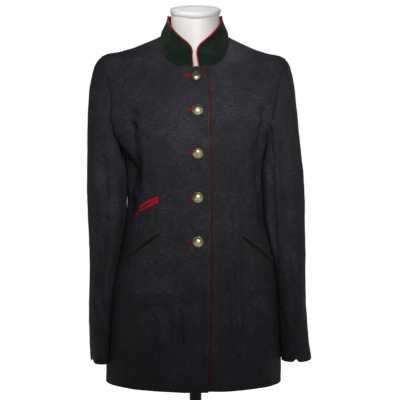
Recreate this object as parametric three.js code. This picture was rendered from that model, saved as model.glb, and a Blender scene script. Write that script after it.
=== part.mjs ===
import * as THREE from "three";

// A long blazer with a stand collar, on a limbless dress form with a pole and a round foot.
// Millimetres: +X to the viewer's right, -Y to the front, +Z up, the floor at z = 0.
// A turn is an angle in degrees round the body: 0 at the centre front, 90 at the viewer's right
// side, 180 at the centre back. The wearer's right is the viewer's left, at negative turns.
// A row is a place in bodyRows, counted from 0 at the hem, and may lie between two of them.

// Driving dimensions of the cloth
const clothWall = 2;
const feltWall = 2.4;
const seamGap = 0.3;
const lapGap = 0.75;
const hemShorter = 1.5;
const hemShortTurn = 28;
const laidGap = 0.5;

// The body: heights of a row at the centre front, side and centre back, its half width, its depth
// before and behind the form's axis, its squareness, how late and how sharply it rises to the side,
// how far its middle lies from the axis, how far it tips down to the viewer's right, and the turn of
// the seam between the front and the side panel.
const bodyRows = [
  { front: 129.5, side: 133, back: 133, half: 183, fore: 134, aft: 130,
    square: 2.15, late: 0, rise: 2, shift: -4, tip: 0, panel: 54 },
  { front: 200, side: 200, back: 200, half: 182, fore: 134, aft: 131,
    square: 2.2, late: 0, rise: 2, shift: -4, tip: 0, panel: 54 },
  { front: 270, side: 270, back: 270, half: 180, fore: 133, aft: 131,
    square: 2.2, late: 0, rise: 2, shift: -4, tip: 0, panel: 54 },
  { front: 330, side: 330, back: 330, half: 175.5, fore: 130, aft: 128,
    square: 2.25, late: 0, rise: 2, shift: -1, tip: 0, panel: 54 },
  { front: 380, side: 380, back: 380, half: 166, fore: 125, aft: 121,
    square: 2.3, late: 0, rise: 2, shift: 2, tip: 0, panel: 55 },
  { front: 430, side: 430, back: 430, half: 153.5, fore: 118, aft: 110,
    square: 2.35, late: 0, rise: 2, shift: 1.5, tip: 0, panel: 56 },
  { front: 475, side: 475, back: 475, half: 146.5, fore: 111, aft: 101,
    square: 2.4, late: 0, rise: 2, shift: 1.5, tip: 0, panel: 57 },
  { front: 520, side: 520, back: 520, half: 143, fore: 108, aft: 96,
    square: 2.45, late: 0, rise: 2, shift: 0, tip: 0, panel: 58 },
  { front: 570, side: 570, back: 570, half: 143, fore: 117, aft: 98,
    square: 2.5, late: 0, rise: 2, shift: -2, tip: 0, panel: 62 },
  { front: 615, side: 615, back: 615, half: 151, fore: 129, aft: 105,
    square: 2.5, late: 0, rise: 2, shift: -3, tip: 0, panel: 69 },
  { front: 658, side: 668, back: 660, half: 172, fore: 133, aft: 111,
    square: 2.5, late: 0, rise: 4, shift: -4, tip: 0.004, panel: 76 },
  { front: 702, side: 738, back: 716, half: 188, fore: 122, aft: 112,
    square: 2.4, late: 0, rise: 6, shift: -4, tip: 0.008, panel: 76 },
  { front: 733, side: 808.5, back: 770, half: 194, fore: 106, aft: 103,
    square: 2.2, late: 0, rise: 9, shift: -4, tip: 0.014, panel: 76 },
  { front: 757, side: 827, back: 824, half: 132, fore: 87, aft: 84,
    square: 2.1, late: 0.4, rise: 5, shift: -3, tip: 0.014, panel: 76 },
  { front: 781, side: 852, back: 868, half: 71, fore: 64, aft: 62,
    square: 2.2, late: 1, rise: 2, shift: -2, tip: 0.012, panel: 76 },
];
const underarmRow = 9;
const tipRow = 12;
const neckRow = 14;
const lateRise = 1.5;

// The armhole bites this many degrees out of each panel, along these shares of its height
const armholeBite = 21;
const armholeRound = 0.4;
const armholeShares = [0, 0.01, 0.04, 0.09, 0.18, 0.32, 0.5, 0.68, 0.82, 0.91, 0.96, 0.99, 1];
const panelShare = 4;
const bodySteps = 14;
const yokeRows = [12.35, 12.8, 13.2, 13.6, 14];
const frontColumns = 13;
const columnCrowd = 1.3;
const backColumns = 9;

// The closure, right front over left: x of the right front's edge at each height, and of the left's
const rightEdge = [
  { height: 131, x: 24 },
  { height: 190, x: 26.9 },
  { height: 240, x: 29 },
  { height: 307, x: 31 },
  { height: 430, x: 31.4 },
  { height: 600, x: 31 },
  { height: 680, x: 29.3 },
  { height: 747, x: 26 },
  { height: 781, x: 21.4 },
];
const leftEdge = -17;
const lapFrom = -40;
const lapFull = -24;

// Largest folds of the body. Each runs from one row and turn to another, is so many degrees wide
// and lifts the cloth so far, or dips it where that is negative.
const bodyFolds = [
  { fromRow: 0.2, fromTurn: 31, toRow: 8.2, toTurn: 42, wide: 4.5, lift: 5 },
  { fromRow: 0.4, fromTurn: -16, toRow: 3.6, toTurn: -17, wide: 4, lift: 4 },
  { fromRow: 4.2, fromTurn: -33, toRow: 10.5, toTurn: -36, wide: 5, lift: 3 },
  { fromRow: 6.6, fromTurn: -62, toRow: 10.4, toTurn: -48, wide: 7, lift: -7 },
  { fromRow: 6.0, fromTurn: 70, toRow: 10.2, toTurn: 62, wide: 6, lift: -5 },
  { fromRow: 10.2, fromTurn: 33, toRow: 13.4, toTurn: 30, wide: 5, lift: -3 },
  { fromRow: 10.2, fromTurn: -52, toRow: 12.8, toTurn: -50, wide: 5, lift: 4 },
  { fromRow: -0.8, fromTurn: -46, toRow: 4.2, toTurn: -46, wide: 6, lift: 4 },
  { fromRow: -0.8, fromTurn: 62, toRow: 4.2, toTurn: 62, wide: 6, lift: 4 },
  { fromRow: -0.8, fromTurn: 118, toRow: 5.5, toTurn: 122, wide: 6, lift: 5 },
  { fromRow: -0.8, fromTurn: -116, toRow: 5.2, toTurn: -121, wide: 6, lift: 5 },
  { fromRow: -0.8, fromTurn: 152, toRow: 6.4, toTurn: 150, wide: 6, lift: 4 },
  { fromRow: -0.8, fromTurn: -150, toRow: 6.0, toTurn: -149, wide: 6, lift: 4 },
  { fromRow: 7.0, fromTurn: 128, toRow: 11.6, toTurn: 124, wide: 6, lift: 4 },
  { fromRow: 7.2, fromTurn: -126, toRow: 11.6, toTurn: -125, wide: 6, lift: 4 },
];

// The sleeves: height of a section, its outer and inner edge from the axis, its reach to the
// front and back, and how far its front fold is drawn in towards the body. The head gives how far
// the top runs out along the shoulder, and how it comes down to the first section.
const sleeves = {
  right: {
    side: -1,
    head: { leave: 30, lean: 2, arrive: 125 },
    sections: [
      { height: 572, outer: 227.5, inner: 138, fore: 74, aft: 60, draw: 4 },
      { height: 520, outer: 228, inner: 148, fore: 73, aft: 60, draw: 11 },
      { height: 465, outer: 226, inner: 148, fore: 71, aft: 58, draw: 12 },
      { height: 411, outer: 223, inner: 154, fore: 69, aft: 55, draw: 12 },
      { height: 352, outer: 223, inner: 162, fore: 67, aft: 52, draw: 10 },
      { height: 290, outer: 224, inner: 170, fore: 66, aft: 49, draw: 10 },
      { height: 228, outer: 223, inner: 174, fore: 65, aft: 47, draw: 9 },
      { height: 176, outer: 220, inner: 176, fore: 63, aft: 45, draw: 8 },
    ],
    folds: [
      { fromRow: -0.9, fromTurn: 118, toRow: 4.4, toTurn: 100, wide: 13, lift: 4 },
      { fromRow: 0.2, fromTurn: 62, toRow: 6.6, toTurn: 58, wide: 11, lift: 3.5 },
      { fromRow: 3.4, fromTurn: 96, toRow: 7.6, toTurn: 70, wide: 11, lift: 3 },
      { fromRow: 0.6, fromTurn: 292, toRow: 6.4, toTurn: 296, wide: 13, lift: 3.5 },
    ],
  },
  left: {
    side: 1,
    head: { leave: 19, lean: 18, arrive: 100 },
    sections: [
      { height: 572, outer: 226.8, inner: 140, fore: 74, aft: 60, draw: 4 },
      { height: 520, outer: 229.3, inner: 132, fore: 74, aft: 60, draw: 8 },
      { height: 465, outer: 230, inner: 134, fore: 73, aft: 58, draw: 8 },
      { height: 411, outer: 231, inner: 146, fore: 72, aft: 55, draw: 8 },
      { height: 352, outer: 231, inner: 160, fore: 71, aft: 52, draw: 6 },
      { height: 290, outer: 232.5, inner: 170, fore: 70, aft: 49, draw: 6 },
      { height: 228, outer: 237, inner: 174, fore: 68, aft: 47, draw: 6 },
      { height: 181, outer: 243, inner: 178, fore: 66, aft: 45, draw: 6 },
    ],
    folds: [
      { fromRow: -0.9, fromTurn: 122, toRow: 4.6, toTurn: 118, wide: 12, lift: 4 },
      { fromRow: 0.8, fromTurn: 66, toRow: 7.2, toTurn: 72, wide: 12, lift: 3.5 },
      { fromRow: 0.6, fromTurn: 292, toRow: 6.4, toTurn: 296, wide: 13, lift: 3.5 },
    ],
  },
};
const sleeveSquare = 2.3;
const sleeveClear = 3.2;
const underLeave = 7;
const underArrive = 14;
const headSteps = 7;
const headCrowd = 1.3;
const tubeSteps = 9;
const underSleeve = { frontSeam: 140, backSeam: 262 };

// The stand collar: its free upper edge as a row of the same kind, and its ends
const collarTop = { front: 824, side: 895, back: 904, half: 58, fore: 55, aft: 60,
  square: 2.1, rise: 0.66, shift: -1.5 };
const collarEnds = { rightBase: -5.8, rightTop: -7, leftBase: 9, leftTop: 4 };
const collarGrid = 3;
const collarBend = { front: 28, side: 80 };
const collarSteps = 4;
const cornerRun = 15;
const cornerDrop = 12;

// Piping, a round red cord in the edges
const pipingRadius = 1.2;
const pipingSides = 6;

// Domed buttons down the centre and the piped holes that they come through
const buttonRadius = 11;
const buttonDome = 5.5;
const buttonRim = 1.2;
const buttons = [
  { x: 1.6, height: 757, hole: 13 },
  { x: 4.5, height: 687.5, hole: 12 },
  { x: 5.3, height: 603, hole: 8 },
  { x: 5.3, height: 514.6, hole: 7.5 },
  { x: 5.7, height: 426, hole: 7.5 },
];
const holeHigh = 6;
const trimWall = 0.9;

// Slanted welts and the narrow double-piped pocket, by the turn and height of both ends
const hipWelts = {
  right: { fromTurn: -35.5, fromHeight: 443, toTurn: -68, toHeight: 381, high: 6.5 },
  left: { fromTurn: 41, fromHeight: 436, toTurn: 70, toHeight: 378, high: 6.5 },
};
const ticketJets = {
  upper: { fromTurn: -37, fromHeight: 513.8, toTurn: -56.2, toHeight: 493, high: 3.2 },
  lower: { fromTurn: -37, fromHeight: 508.2, toTurn: -55.4, toHeight: 487.6, high: 3.2 },
};
const weltWall = 1.5;

// The dress form: how far it lies inside the cloth at each row, the widest that it is, its neck
const formEase = [
  { row: 1.6, ease: 30 },
  { row: 3, ease: 22 },
  { row: 5, ease: 14 },
  { row: 7, ease: 9 },
  { row: 9, ease: 11 },
  { row: 10.5, ease: 6 },
  { row: 12, ease: 2.2 },
  { row: 14, ease: 3.5 },
];
const formReach = 158;
const formBottom = 250;
const formColumns = 32;
const neckSections = [
  { front: 800, side: 872, back: 884, half: 52.5, fore: 48, aft: 51 },
  { front: 836, side: 886, back: 893, half: 51.5, fore: 47, aft: 51 },
  { front: 883, side: 899, back: 915, half: 51.5, fore: 46, aft: 51 },
  { front: 886, side: 902, back: 918, half: 53.5, fore: 48, aft: 53 },
  { front: 893, side: 909, back: 925, half: 53.5, fore: 48, aft: 53 },
  { front: 897, side: 912.5, back: 928, half: 47, fore: 42, aft: 47 },
  { front: 905.7, side: 913.7, back: 923.2, half: 27, fore: 23, aft: 28 },
];
const capTop = 915;
const poleRadius = 12.5;
const footRadius = 145;
const footHigh = 12;

const radians = THREE.MathUtils.degToRad;
const lerp = THREE.MathUtils.lerp;
const smooth = (value, low, high) => THREE.MathUtils.smoothstep(value, low, high);

const finish = (color, roughness, metalness = 0) =>
  new THREE.MeshStandardMaterial({ color, roughness, metalness });
const clothFinish = finish(0x2b2a30, 0.9);
const feltFinish = finish(0x1c2d24, 0.95);
const pipingFinish = finish(0x8c1a26, 0.7);
const brassFinish = finish(0x8d7b52, 0.4, 0.9);
const formFinish = finish(0xdedcda, 0.4);
const poleFinish = finish(0x1c1c1e, 0.5, 0.4);

// A smooth curve through one named column of a table, by its place in the table
function columnCurve(rows, column) {
  const last = rows.length - 1;
  const at = (i) => rows[Math.min(Math.max(i, 0), last)][column];
  return (place) => {
    const k = Math.min(Math.max(Math.floor(place), 0), last - 1);
    const f = place - k;
    const leave = (at(k + 1) - at(k - 1)) / (k > 0 ? 2 : 1);
    const arrive = (at(k + 2) - at(k)) / (k < last - 1 ? 2 : 1);
    const rest = 1 - f;
    return at(k) * (1 + 2 * f) * rest ** 2 + leave * f * rest ** 2
      + at(k + 1) * (3 - 2 * f) * f ** 2 - arrive * rest * f ** 2;
  };
}

function curves(rows) {
  return Object.fromEntries(Object.keys(rows[0]).map((column) => [column, columnCurve(rows, column)]));
}

// A value read off a table of straight steps, by its key column
function stepped(rows, key, value, at) {
  const next = rows.findIndex((row) => row[key] >= at);
  if (next <= 0) return rows[next < 0 ? rows.length - 1 : 0][value];
  const [a, b] = [rows[next - 1], rows[next]];
  return lerp(a[value], b[value], (at - a[key]) / (b[key] - a[key]));
}

// The lift of a set of folds at a turn and a row
function foldLift(folds, turn, row) {
  let lift = 0;
  for (const fold of folds) {
    const share = (row - fold.fromRow) / (fold.toRow - fold.fromRow);
    if (share <= 0 || share >= 1) continue;
    let off = turn - lerp(fold.fromTurn, fold.toTurn, share);
    if (off > 180) off -= 360;
    if (off < -180) off += 360;
    const fade = smooth(Math.min(share, 1 - share), 0, 0.35);
    lift += fold.lift * fade * Math.exp(-((off / fold.wide) ** 2));
  }
  return lift;
}

// Distance from the axis of a rounded ring, at a turn
function ringRadius(turn, half, fore, aft, square) {
  const across = Math.abs(Math.sin(radians(turn)));
  const ahead = Math.cos(radians(turn));
  const depth = ahead >= 0 ? fore : aft;
  return ((across / half) ** square + (Math.abs(ahead) / depth) ** square) ** (-1 / square);
}

const body = curves(bodyRows);

function barePoint(turn, row, reach = Infinity) {
  const half = Math.min(body.half(row), reach);
  const radius = ringRadius(turn, half, body.fore(row), body.aft(row), body.square(row));
  const across = Math.sin(radians(turn));
  const ahead = Math.cos(radians(turn));
  const centre = ahead >= 0 ? body.front(row) : body.back(row);
  const late = body.late(row);
  const rise = (1 - late) * Math.abs(across) ** body.rise(row) + late * (1 - Math.abs(ahead)) ** lateRise;
  const x = radius * across;
  const height = lerp(centre, body.side(row), rise) - body.tip(row) * x;
  return new THREE.Vector3(x + body.shift(row), -radius * ahead, height);
}

// Outward direction of a surface given as a function of turn and row
function outward(surface, turn, row) {
  const step = 0.02;
  const alongTurn = surface(turn + step * 20, row).sub(surface(turn - step * 20, row));
  const [low, high] = [Math.max(row - step, 0), Math.min(row + step, neckRow)];
  const alongRow = surface(turn, high).sub(surface(turn, low));
  return alongTurn.cross(alongRow).normalize();
}

const foldedPoint = (turn, row) =>
  barePoint(turn, row).addScaledVector(outward(barePoint, turn, row), foldLift(bodyFolds, turn, row));
const bodyNormal = (turn, row) => outward(foldedPoint, turn, row);
const bodyPoint = (turn, row, out = 0) =>
  foldedPoint(turn, row).addScaledVector(bodyNormal(turn, row), out);

// The row of the lower body at a height, and the body's half width there at a distance to the back
function rowAt(height) {
  let [low, high] = [0, neckRow];
  for (let k = 0; k < 30; k += 1) {
    const middle = (low + high) / 2;
    if (body.front(middle) < height) low = middle;
    else high = middle;
  }
  return (low + high) / 2;
}

function turnAt(x, row) {
  return THREE.MathUtils.radToDeg(Math.atan2(x - body.shift(row), body.fore(row)));
}

// Turn of the armhole's edge from the centre line, at a share of its height
const armholeTurn = (share) => 90 - armholeBite * (4 * share * (1 - share)) ** armholeRound;
const armholeRow = (share) => lerp(underarmRow, tipRow, share);
const panelRow = armholeRow(armholeShares[panelShare]);
const panelTurn = armholeTurn(armholeShares[panelShare]);
const seamTurn = (row) => lerp(body.panel(row), panelTurn, smooth(row, underarmRow - 1, panelRow));

// Half a seam gap as a turn
function gapTurn(turn, row) {
  const perDegree = barePoint(turn + 0.5, row).distanceTo(barePoint(turn - 0.5, row));
  return seamGap / 2 / perDegree;
}

function addMesh(name, geometry, material) {
  geometry.computeVertexNormals();
  const mesh = new THREE.Mesh(geometry, material);
  mesh.name = name;
  blazer.add(mesh);
  return mesh;
}

// Volume of a closed indexed mesh, negative where its faces point inwards
function signedVolume(points, index) {
  let volume = 0;
  for (let k = 0; k < index.length; k += 3) {
    const [a, b, c] = [points[index[k]], points[index[k + 1]], points[index[k + 2]]];
    volume += a.dot(new THREE.Vector3().crossVectors(b, c)) / 6;
  }
  return volume;
}

function closedGeometry(points, index) {
  if (signedVolume(points, index) < 0) index.reverse();
  const geometry = new THREE.BufferGeometry().setFromPoints(points);
  geometry.setIndex(index);
  return geometry;
}

// A wall between two grids of points, rows of columns, closed along its edges. A tube's columns
// meet again at the start.
function wall(outer, inner, tube = false) {
  const rows = outer.length;
  const columns = outer[0].length;
  const points = [...outer.flat(), ...inner.flat()];
  const index = [];
  const at = (face, j, i) => face * rows * columns + j * columns + (i % columns);
  const quad = (a, b, c, d) => index.push(a, b, c, a, c, d);
  const spans = tube ? columns : columns - 1;
  for (let i = 0; i < spans; i += 1) {
    for (let j = 0; j < rows - 1; j += 1) {
      quad(at(0, j, i), at(0, j, i + 1), at(0, j + 1, i + 1), at(0, j + 1, i));
      quad(at(1, j, i + 1), at(1, j, i), at(1, j + 1, i), at(1, j + 1, i + 1));
    }
    quad(at(1, 0, i), at(1, 0, i + 1), at(0, 0, i + 1), at(0, 0, i));
    quad(at(0, rows - 1, i), at(0, rows - 1, i + 1), at(1, rows - 1, i + 1), at(1, rows - 1, i));
  }
  if (!tube) {
    for (let j = 0; j < rows - 1; j += 1) {
      quad(at(1, j, 0), at(0, j, 0), at(0, j + 1, 0), at(1, j + 1, 0));
      quad(at(0, j, spans), at(1, j, spans), at(1, j + 1, spans), at(0, j + 1, spans));
    }
  }
  return closedGeometry(points, index);
}

// A body panel from a list of places, rows of [turn, row, lift]
function bodyPanel(name, places) {
  const grid = (depth) =>
    places.map((line) => line.map(([turn, row, lift]) => bodyPoint(turn, row, lift - depth)));
  addMesh(name, wall(grid(0), grid(clothWall)), clothFinish);
}

const lowerRows = (top) => Array.from({ length: bodySteps + 1 }, (_, j) => (top * j) / bodySteps);
const frontRows = [
  ...lowerRows(panelRow),
  ...armholeShares.slice(panelShare + 1).map(armholeRow),
  ...yokeRows,
];
const backRows = [...lowerRows(underarmRow), ...armholeShares.slice(1).map(armholeRow), ...yokeRows];

// Turn of a front's outer side: the panel seam, then the armhole, then the shoulder seam
function frontSide(row) {
  if (row <= panelRow) return seamTurn(row);
  return row < tipRow ? armholeTurn((row - underarmRow) / (tipRow - underarmRow)) : 90;
}

// Columns stand closer together towards the sides, where the cloth turns most
const crowded = (share) => 1 - (1 - share) ** columnCrowd;
const lapLift = (x) => (clothWall + lapGap) * smooth(x, lapFrom, lapFull);

// One row of a front's places, from its free edge to its side
function frontLine(side, row) {
  const edge = side < 0 ? stepped(rightEdge, "height", "x", body.front(row)) : leftEdge;
  const from = turnAt(edge, row);
  const outer = frontSide(row);
  const to = side * (outer - gapTurn(outer, row));
  return Array.from({ length: frontColumns + 1 }, (_, i) => {
    const turn = lerp(from, to, crowded(i / frontColumns));
    const raised = side > 0 && row === 0 ? hemShorter * smooth(hemShortTurn - turn, 0, 15) : 0;
    const at = row + raised / (body.front(1) - body.front(0));
    const lift = side < 0 ? lapLift(barePoint(turn, at).x) : 0;
    return [turn, at, lift];
  });
}

function makeFront(name, side) {
  bodyPanel(name, frontRows.map((row) => frontLine(side, row)));
}

// A point on the flat facets of the right front, so that what lies there clears them evenly
function onRightFront(turn, row, out) {
  const j = Math.max(frontRows.findIndex((value) => value > row), 1);
  const across = [frontRows[j - 1], frontRows[j]].map((at) => {
    const line = frontLine(-1, at);
    const i = Math.max(line.findIndex((place) => place[0] < turn), 1);
    const [a, b] = [line[i - 1], line[i]];
    const share = (turn - a[0]) / (b[0] - a[0]);
    return bodyPoint(a[0], a[1], a[2] + out).lerp(bodyPoint(b[0], b[1], b[2] + out), share);
  });
  return across[0].lerp(across[1], (row - frontRows[j - 1]) / (frontRows[j] - frontRows[j - 1]));
}

function makeSide(name, side) {
  const shares = armholeShares.slice(0, panelShare + 1).reverse();
  const places = lowerRows(1).map((high) =>
    shares.map((share, i) => {
      const across = (armholeTurn(share) - panelTurn) / (90 - panelTurn);
      const turn = lerp(seamTurn(high * panelRow), 90, across);
      const row = high * armholeRow(share);
      const inset = i === 0 ? gapTurn(turn, row) : i === shares.length - 1 ? -gapTurn(turn, row) : 0;
      return [side * (turn + inset), row, 0];
    }),
  );
  bodyPanel(name, places);
}

function makeBack(name, side) {
  const places = backRows.map((row) => {
    const share = (row - underarmRow) / (tipRow - underarmRow);
    const edge = share > 0 && share < 1 ? 180 - armholeTurn(share) : 90;
    const to = edge + gapTurn(edge, row);
    const from = 180 - gapTurn(180, row);
    return Array.from({ length: backColumns + 1 }, (_, i) => [
      side * lerp(from, to, crowded(i / backColumns)),
      row,
      0,
    ]);
  });
  bodyPanel(name, places);
}

// The loop of the armhole from the shoulder tip down the front, under the arm and up the back,
// as [turn, row] places
function armholeLoop(side) {
  const front = armholeShares.slice(panelShare).reverse();
  const under = armholeShares.slice(0, panelShare).reverse();
  const back = armholeShares.slice(1, -1);
  return [
    ...[...front, ...under].map((share) => [side * armholeTurn(share), armholeRow(share)]),
    ...back.map((share) => [side * (180 - armholeTurn(share)), armholeRow(share)]),
  ];
}

// Where a piece sewn to an edge starts. It leaves along the panel at bend 0 and straight out of
// it at bend 90, and its wall lies on the far side.
function seamStart(edge, normal, into, bend, thick) {
  const [c, s] = [Math.cos(radians(bend)), Math.sin(radians(bend))];
  const leave = into.clone().multiplyScalar(c).addScaledVector(normal, s);
  const inward = into.clone().multiplyScalar(s).addScaledVector(normal, -c);
  const outer = edge.clone().addScaledVector(leave, seamGap);
  return { outer, inner: outer.clone().addScaledVector(inward, thick), leave };
}

const bezier = (a, b, c, d, f) => {
  const g = 1 - f;
  return a.clone().multiplyScalar(g ** 3).addScaledVector(b, 3 * g * g * f)
    .addScaledVector(c, 3 * g * f * f).addScaledVector(d, f ** 3);
};

// Half width of the body's outer face at a height and a distance to the back
function bodyHalfAt(height, y) {
  const row = rowAt(height);
  const depth = y < 0 ? body.fore(row) : body.aft(row);
  const square = body.square(row);
  const inside = 1 - Math.min(Math.abs(y) / depth, 1) ** square;
  return body.half(row) * inside ** (1 / square);
}

function sleevePoint(sleeve, table, round, place) {
  const [outer, inner] = [table.outer(place), table.inner(place)];
  const across = Math.cos(radians(round));
  const ahead = Math.sin(radians(round));
  const half = (outer - inner) / 2;
  const depth = ahead > 0 ? table.fore(place) : table.aft(place);
  const swell = foldLift(sleeve.folds, round, place);
  const power = 2 / sleeveSquare;
  const reach = (outer + inner) / 2 + (half + swell) * Math.sign(across) * Math.abs(across) ** power;
  const y = -(depth + swell) * Math.sign(ahead) * Math.abs(ahead) ** power;
  const height = table.height(place);
  const drawn = reach - table.draw(place) * Math.max(ahead, 0);
  const least = bodyHalfAt(height, y) + sleeveClear + sleeve.side * body.shift(rowAt(height));
  return new THREE.Vector3(sleeve.side * Math.max(drawn, least), y, height);
}

// Wall points inside a grid of outer points, by the grid's own directions
function insideOf(grid, thick) {
  const columns = grid[0].length;
  return grid.map((line, j) =>
    line.map((point, i) => {
      const along = line[(i + 1) % columns].clone().sub(line[(i + columns - 1) % columns]);
      const up = grid[Math.min(j + 1, grid.length - 1)][i].clone().sub(grid[Math.max(j - 1, 0)][i]);
      return point.clone().addScaledVector(along.cross(up).normalize(), thick);
    }),
  );
}

function makeSleeve(name, sleeve) {
  const table = curves(sleeve.sections);
  const loop = armholeLoop(sleeve.side);
  const edges = loop.map(([turn, row]) => bodyPoint(turn, row));
  const middle = edges.reduce((sum, p) => sum.add(p), new THREE.Vector3()).divideScalar(edges.length);
  const lengths = edges.map((p, i) => p.distanceTo(edges[(i + 1) % edges.length]));
  const frontCount = armholeShares.length - 1;
  const sum = (list) => list.reduce((total, value) => total + value, 0);
  const frontLength = sum(lengths.slice(0, frontCount));
  const backLength = sum(lengths.slice(frontCount));
  const rounds = edges.map((_, i) =>
    i <= frontCount
      ? (180 * sum(lengths.slice(0, i))) / frontLength
      : 180 + (180 * sum(lengths.slice(frontCount, i))) / backLength,
  );
  const starts = edges.map((edge, i) => {
    const normal = bodyNormal(...loop[i]);
    const along = edges[(i + 1) % edges.length].clone().sub(edges[(i + edges.length - 1) % edges.length]);
    const into = along.cross(normal).normalize();
    if (into.dot(middle.clone().sub(edge)) < 0) into.negate();
    const bend = 90 - 90 * Math.cos(radians(rounds[i] / 2)) ** 2;
    return seamStart(edge, normal, into, bend, clothWall);
  });
  const grid = [];
  for (let j = 0; j < headSteps; j += 1) {
    const f = (j / headSteps) ** headCrowd;
    grid.push(
      starts.map((start, i) => {
        const round = rounds[i];
        const end = sleevePoint(sleeve, table, round, 0);
        const top = (1 + Math.cos(radians(round))) / 2;
        const { leave: out, lean, arrive: down } = sleeve.head;
        const leave = start.outer.clone().addScaledVector(start.leave, lerp(underLeave, out, top));
        const drop = new THREE.Vector3(-sleeve.side * lean * top, 0, lerp(underArrive, down, top));
        const arrive = end.clone().add(drop);
        return bezier(start.outer, leave, arrive, end, f);
      }),
    );
  }
  for (let j = 0; j <= tubeSteps; j += 1) {
    const place = ((sleeve.sections.length - 1) * j) / tubeSteps;
    grid.push(rounds.map((round) => sleevePoint(sleeve, table, round, place)));
  }
  const inner = insideOf(grid, -sleeve.side * clothWall);
  inner[0] = starts.map((start) => start.inner);
  splitSleeve(name, rounds, grid, inner);
}

// The two pieces of a sleeve, parted at the seams under the arm's front and back
function splitSleeve(name, rounds, outer, inner) {
  const nearest = (turn) =>
    rounds.reduce((best, value, i) => (Math.abs(value - turn) < Math.abs(rounds[best] - turn) ? i : best), 0);
  const [front, back] = [nearest(underSleeve.frontSeam), nearest(underSleeve.backSeam)];
  const columns = rounds.length;
  const pick = (grid, from, count) =>
    grid.map((line) => {
      const part = Array.from({ length: count + 1 }, (_, i) => line[(from + i) % columns].clone());
      const inset = (at, to) => {
        const ahead = part[to].clone().sub(part[at]).normalize();
        part[at].addScaledVector(ahead, seamGap / 2);
      };
      inset(0, 1);
      inset(count, count - 1);
      return part;
    });
  const under = back - front;
  addMesh(`${name}_under`, wall(pick(outer, front, under), pick(inner, front, under)), clothFinish);
  const over = columns - under;
  addMesh(`${name}_upper`, wall(pick(outer, back, over), pick(inner, back, over)), clothFinish);
}

// A round cord along a line of points, closed at its ends, or a ring
function cord(path, radius, ring = false) {
  const count = path.length;
  const tangent = (i) => {
    const [a, b] = ring
      ? [path[(i + count - 1) % count], path[(i + 1) % count]]
      : [path[Math.max(i - 1, 0)], path[Math.min(i + 1, count - 1)]];
    return b.clone().sub(a).normalize();
  };
  let side = new THREE.Vector3(0.3, 1, 0.2).cross(tangent(0)).normalize();
  const points = [];
  path.forEach((centre, i) => {
    const along = tangent(i);
    side = side.clone().addScaledVector(along, -side.dot(along)).normalize();
    const other = along.clone().cross(side);
    for (let k = 0; k < pipingSides; k += 1) {
      const angle = (2 * Math.PI * k) / pipingSides;
      points.push(
        centre.clone().addScaledVector(side, radius * Math.cos(angle))
          .addScaledVector(other, radius * Math.sin(angle)),
      );
    }
  });
  const index = [];
  const at = (i, k) => (i % count) * pipingSides + (k % pipingSides);
  for (let i = 0; i < (ring ? count : count - 1); i += 1) {
    for (let k = 0; k < pipingSides; k += 1) {
      index.push(at(i, k), at(i, k + 1), at(i + 1, k + 1), at(i, k), at(i + 1, k + 1), at(i + 1, k));
    }
  }
  if (!ring) {
    for (let k = 1; k < pipingSides - 1; k += 1) {
      index.push(at(0, 0), at(0, k + 1), at(0, k));
      index.push(at(count - 1, 0), at(count - 1, k), at(count - 1, k + 1));
    }
  }
  return closedGeometry(points, index);
}

// The collar's upper edge at a turn
function collarTopPoint(turn, drop) {
  const t = collarTop;
  const radius = ringRadius(turn, t.half, t.fore, t.aft, t.square);
  const ahead = Math.cos(radians(turn));
  const centre = ahead >= 0 ? t.front : t.back;
  const height = lerp(centre, t.side, (1 - Math.abs(ahead)) ** t.rise) - drop;
  return new THREE.Vector3(radius * Math.sin(radians(turn)) + t.shift, -radius * ahead, height);
}

// The collar's columns stand on the columns of the panels that it is sewn to
function collarTurns(from, to) {
  const front = (side) => frontLine(side, neckRow).map((place) => place[0]);
  const back = Array.from({ length: backColumns }, (_, i) => lerp(180, 90, crowded(i / backColumns)));
  const left = front(1).filter((turn) => turn > from + collarGrid && turn < 89);
  const right = front(-1).map((turn) => turn + 360).filter((turn) => turn < to - collarGrid && turn > 271);
  const behind = [...back].reverse();
  const mirrored = back.slice(1).map((turn) => 360 - turn);
  return [from, ...left, 90, ...behind, ...mirrored, 270, ...right.reverse(), to];
}

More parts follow.
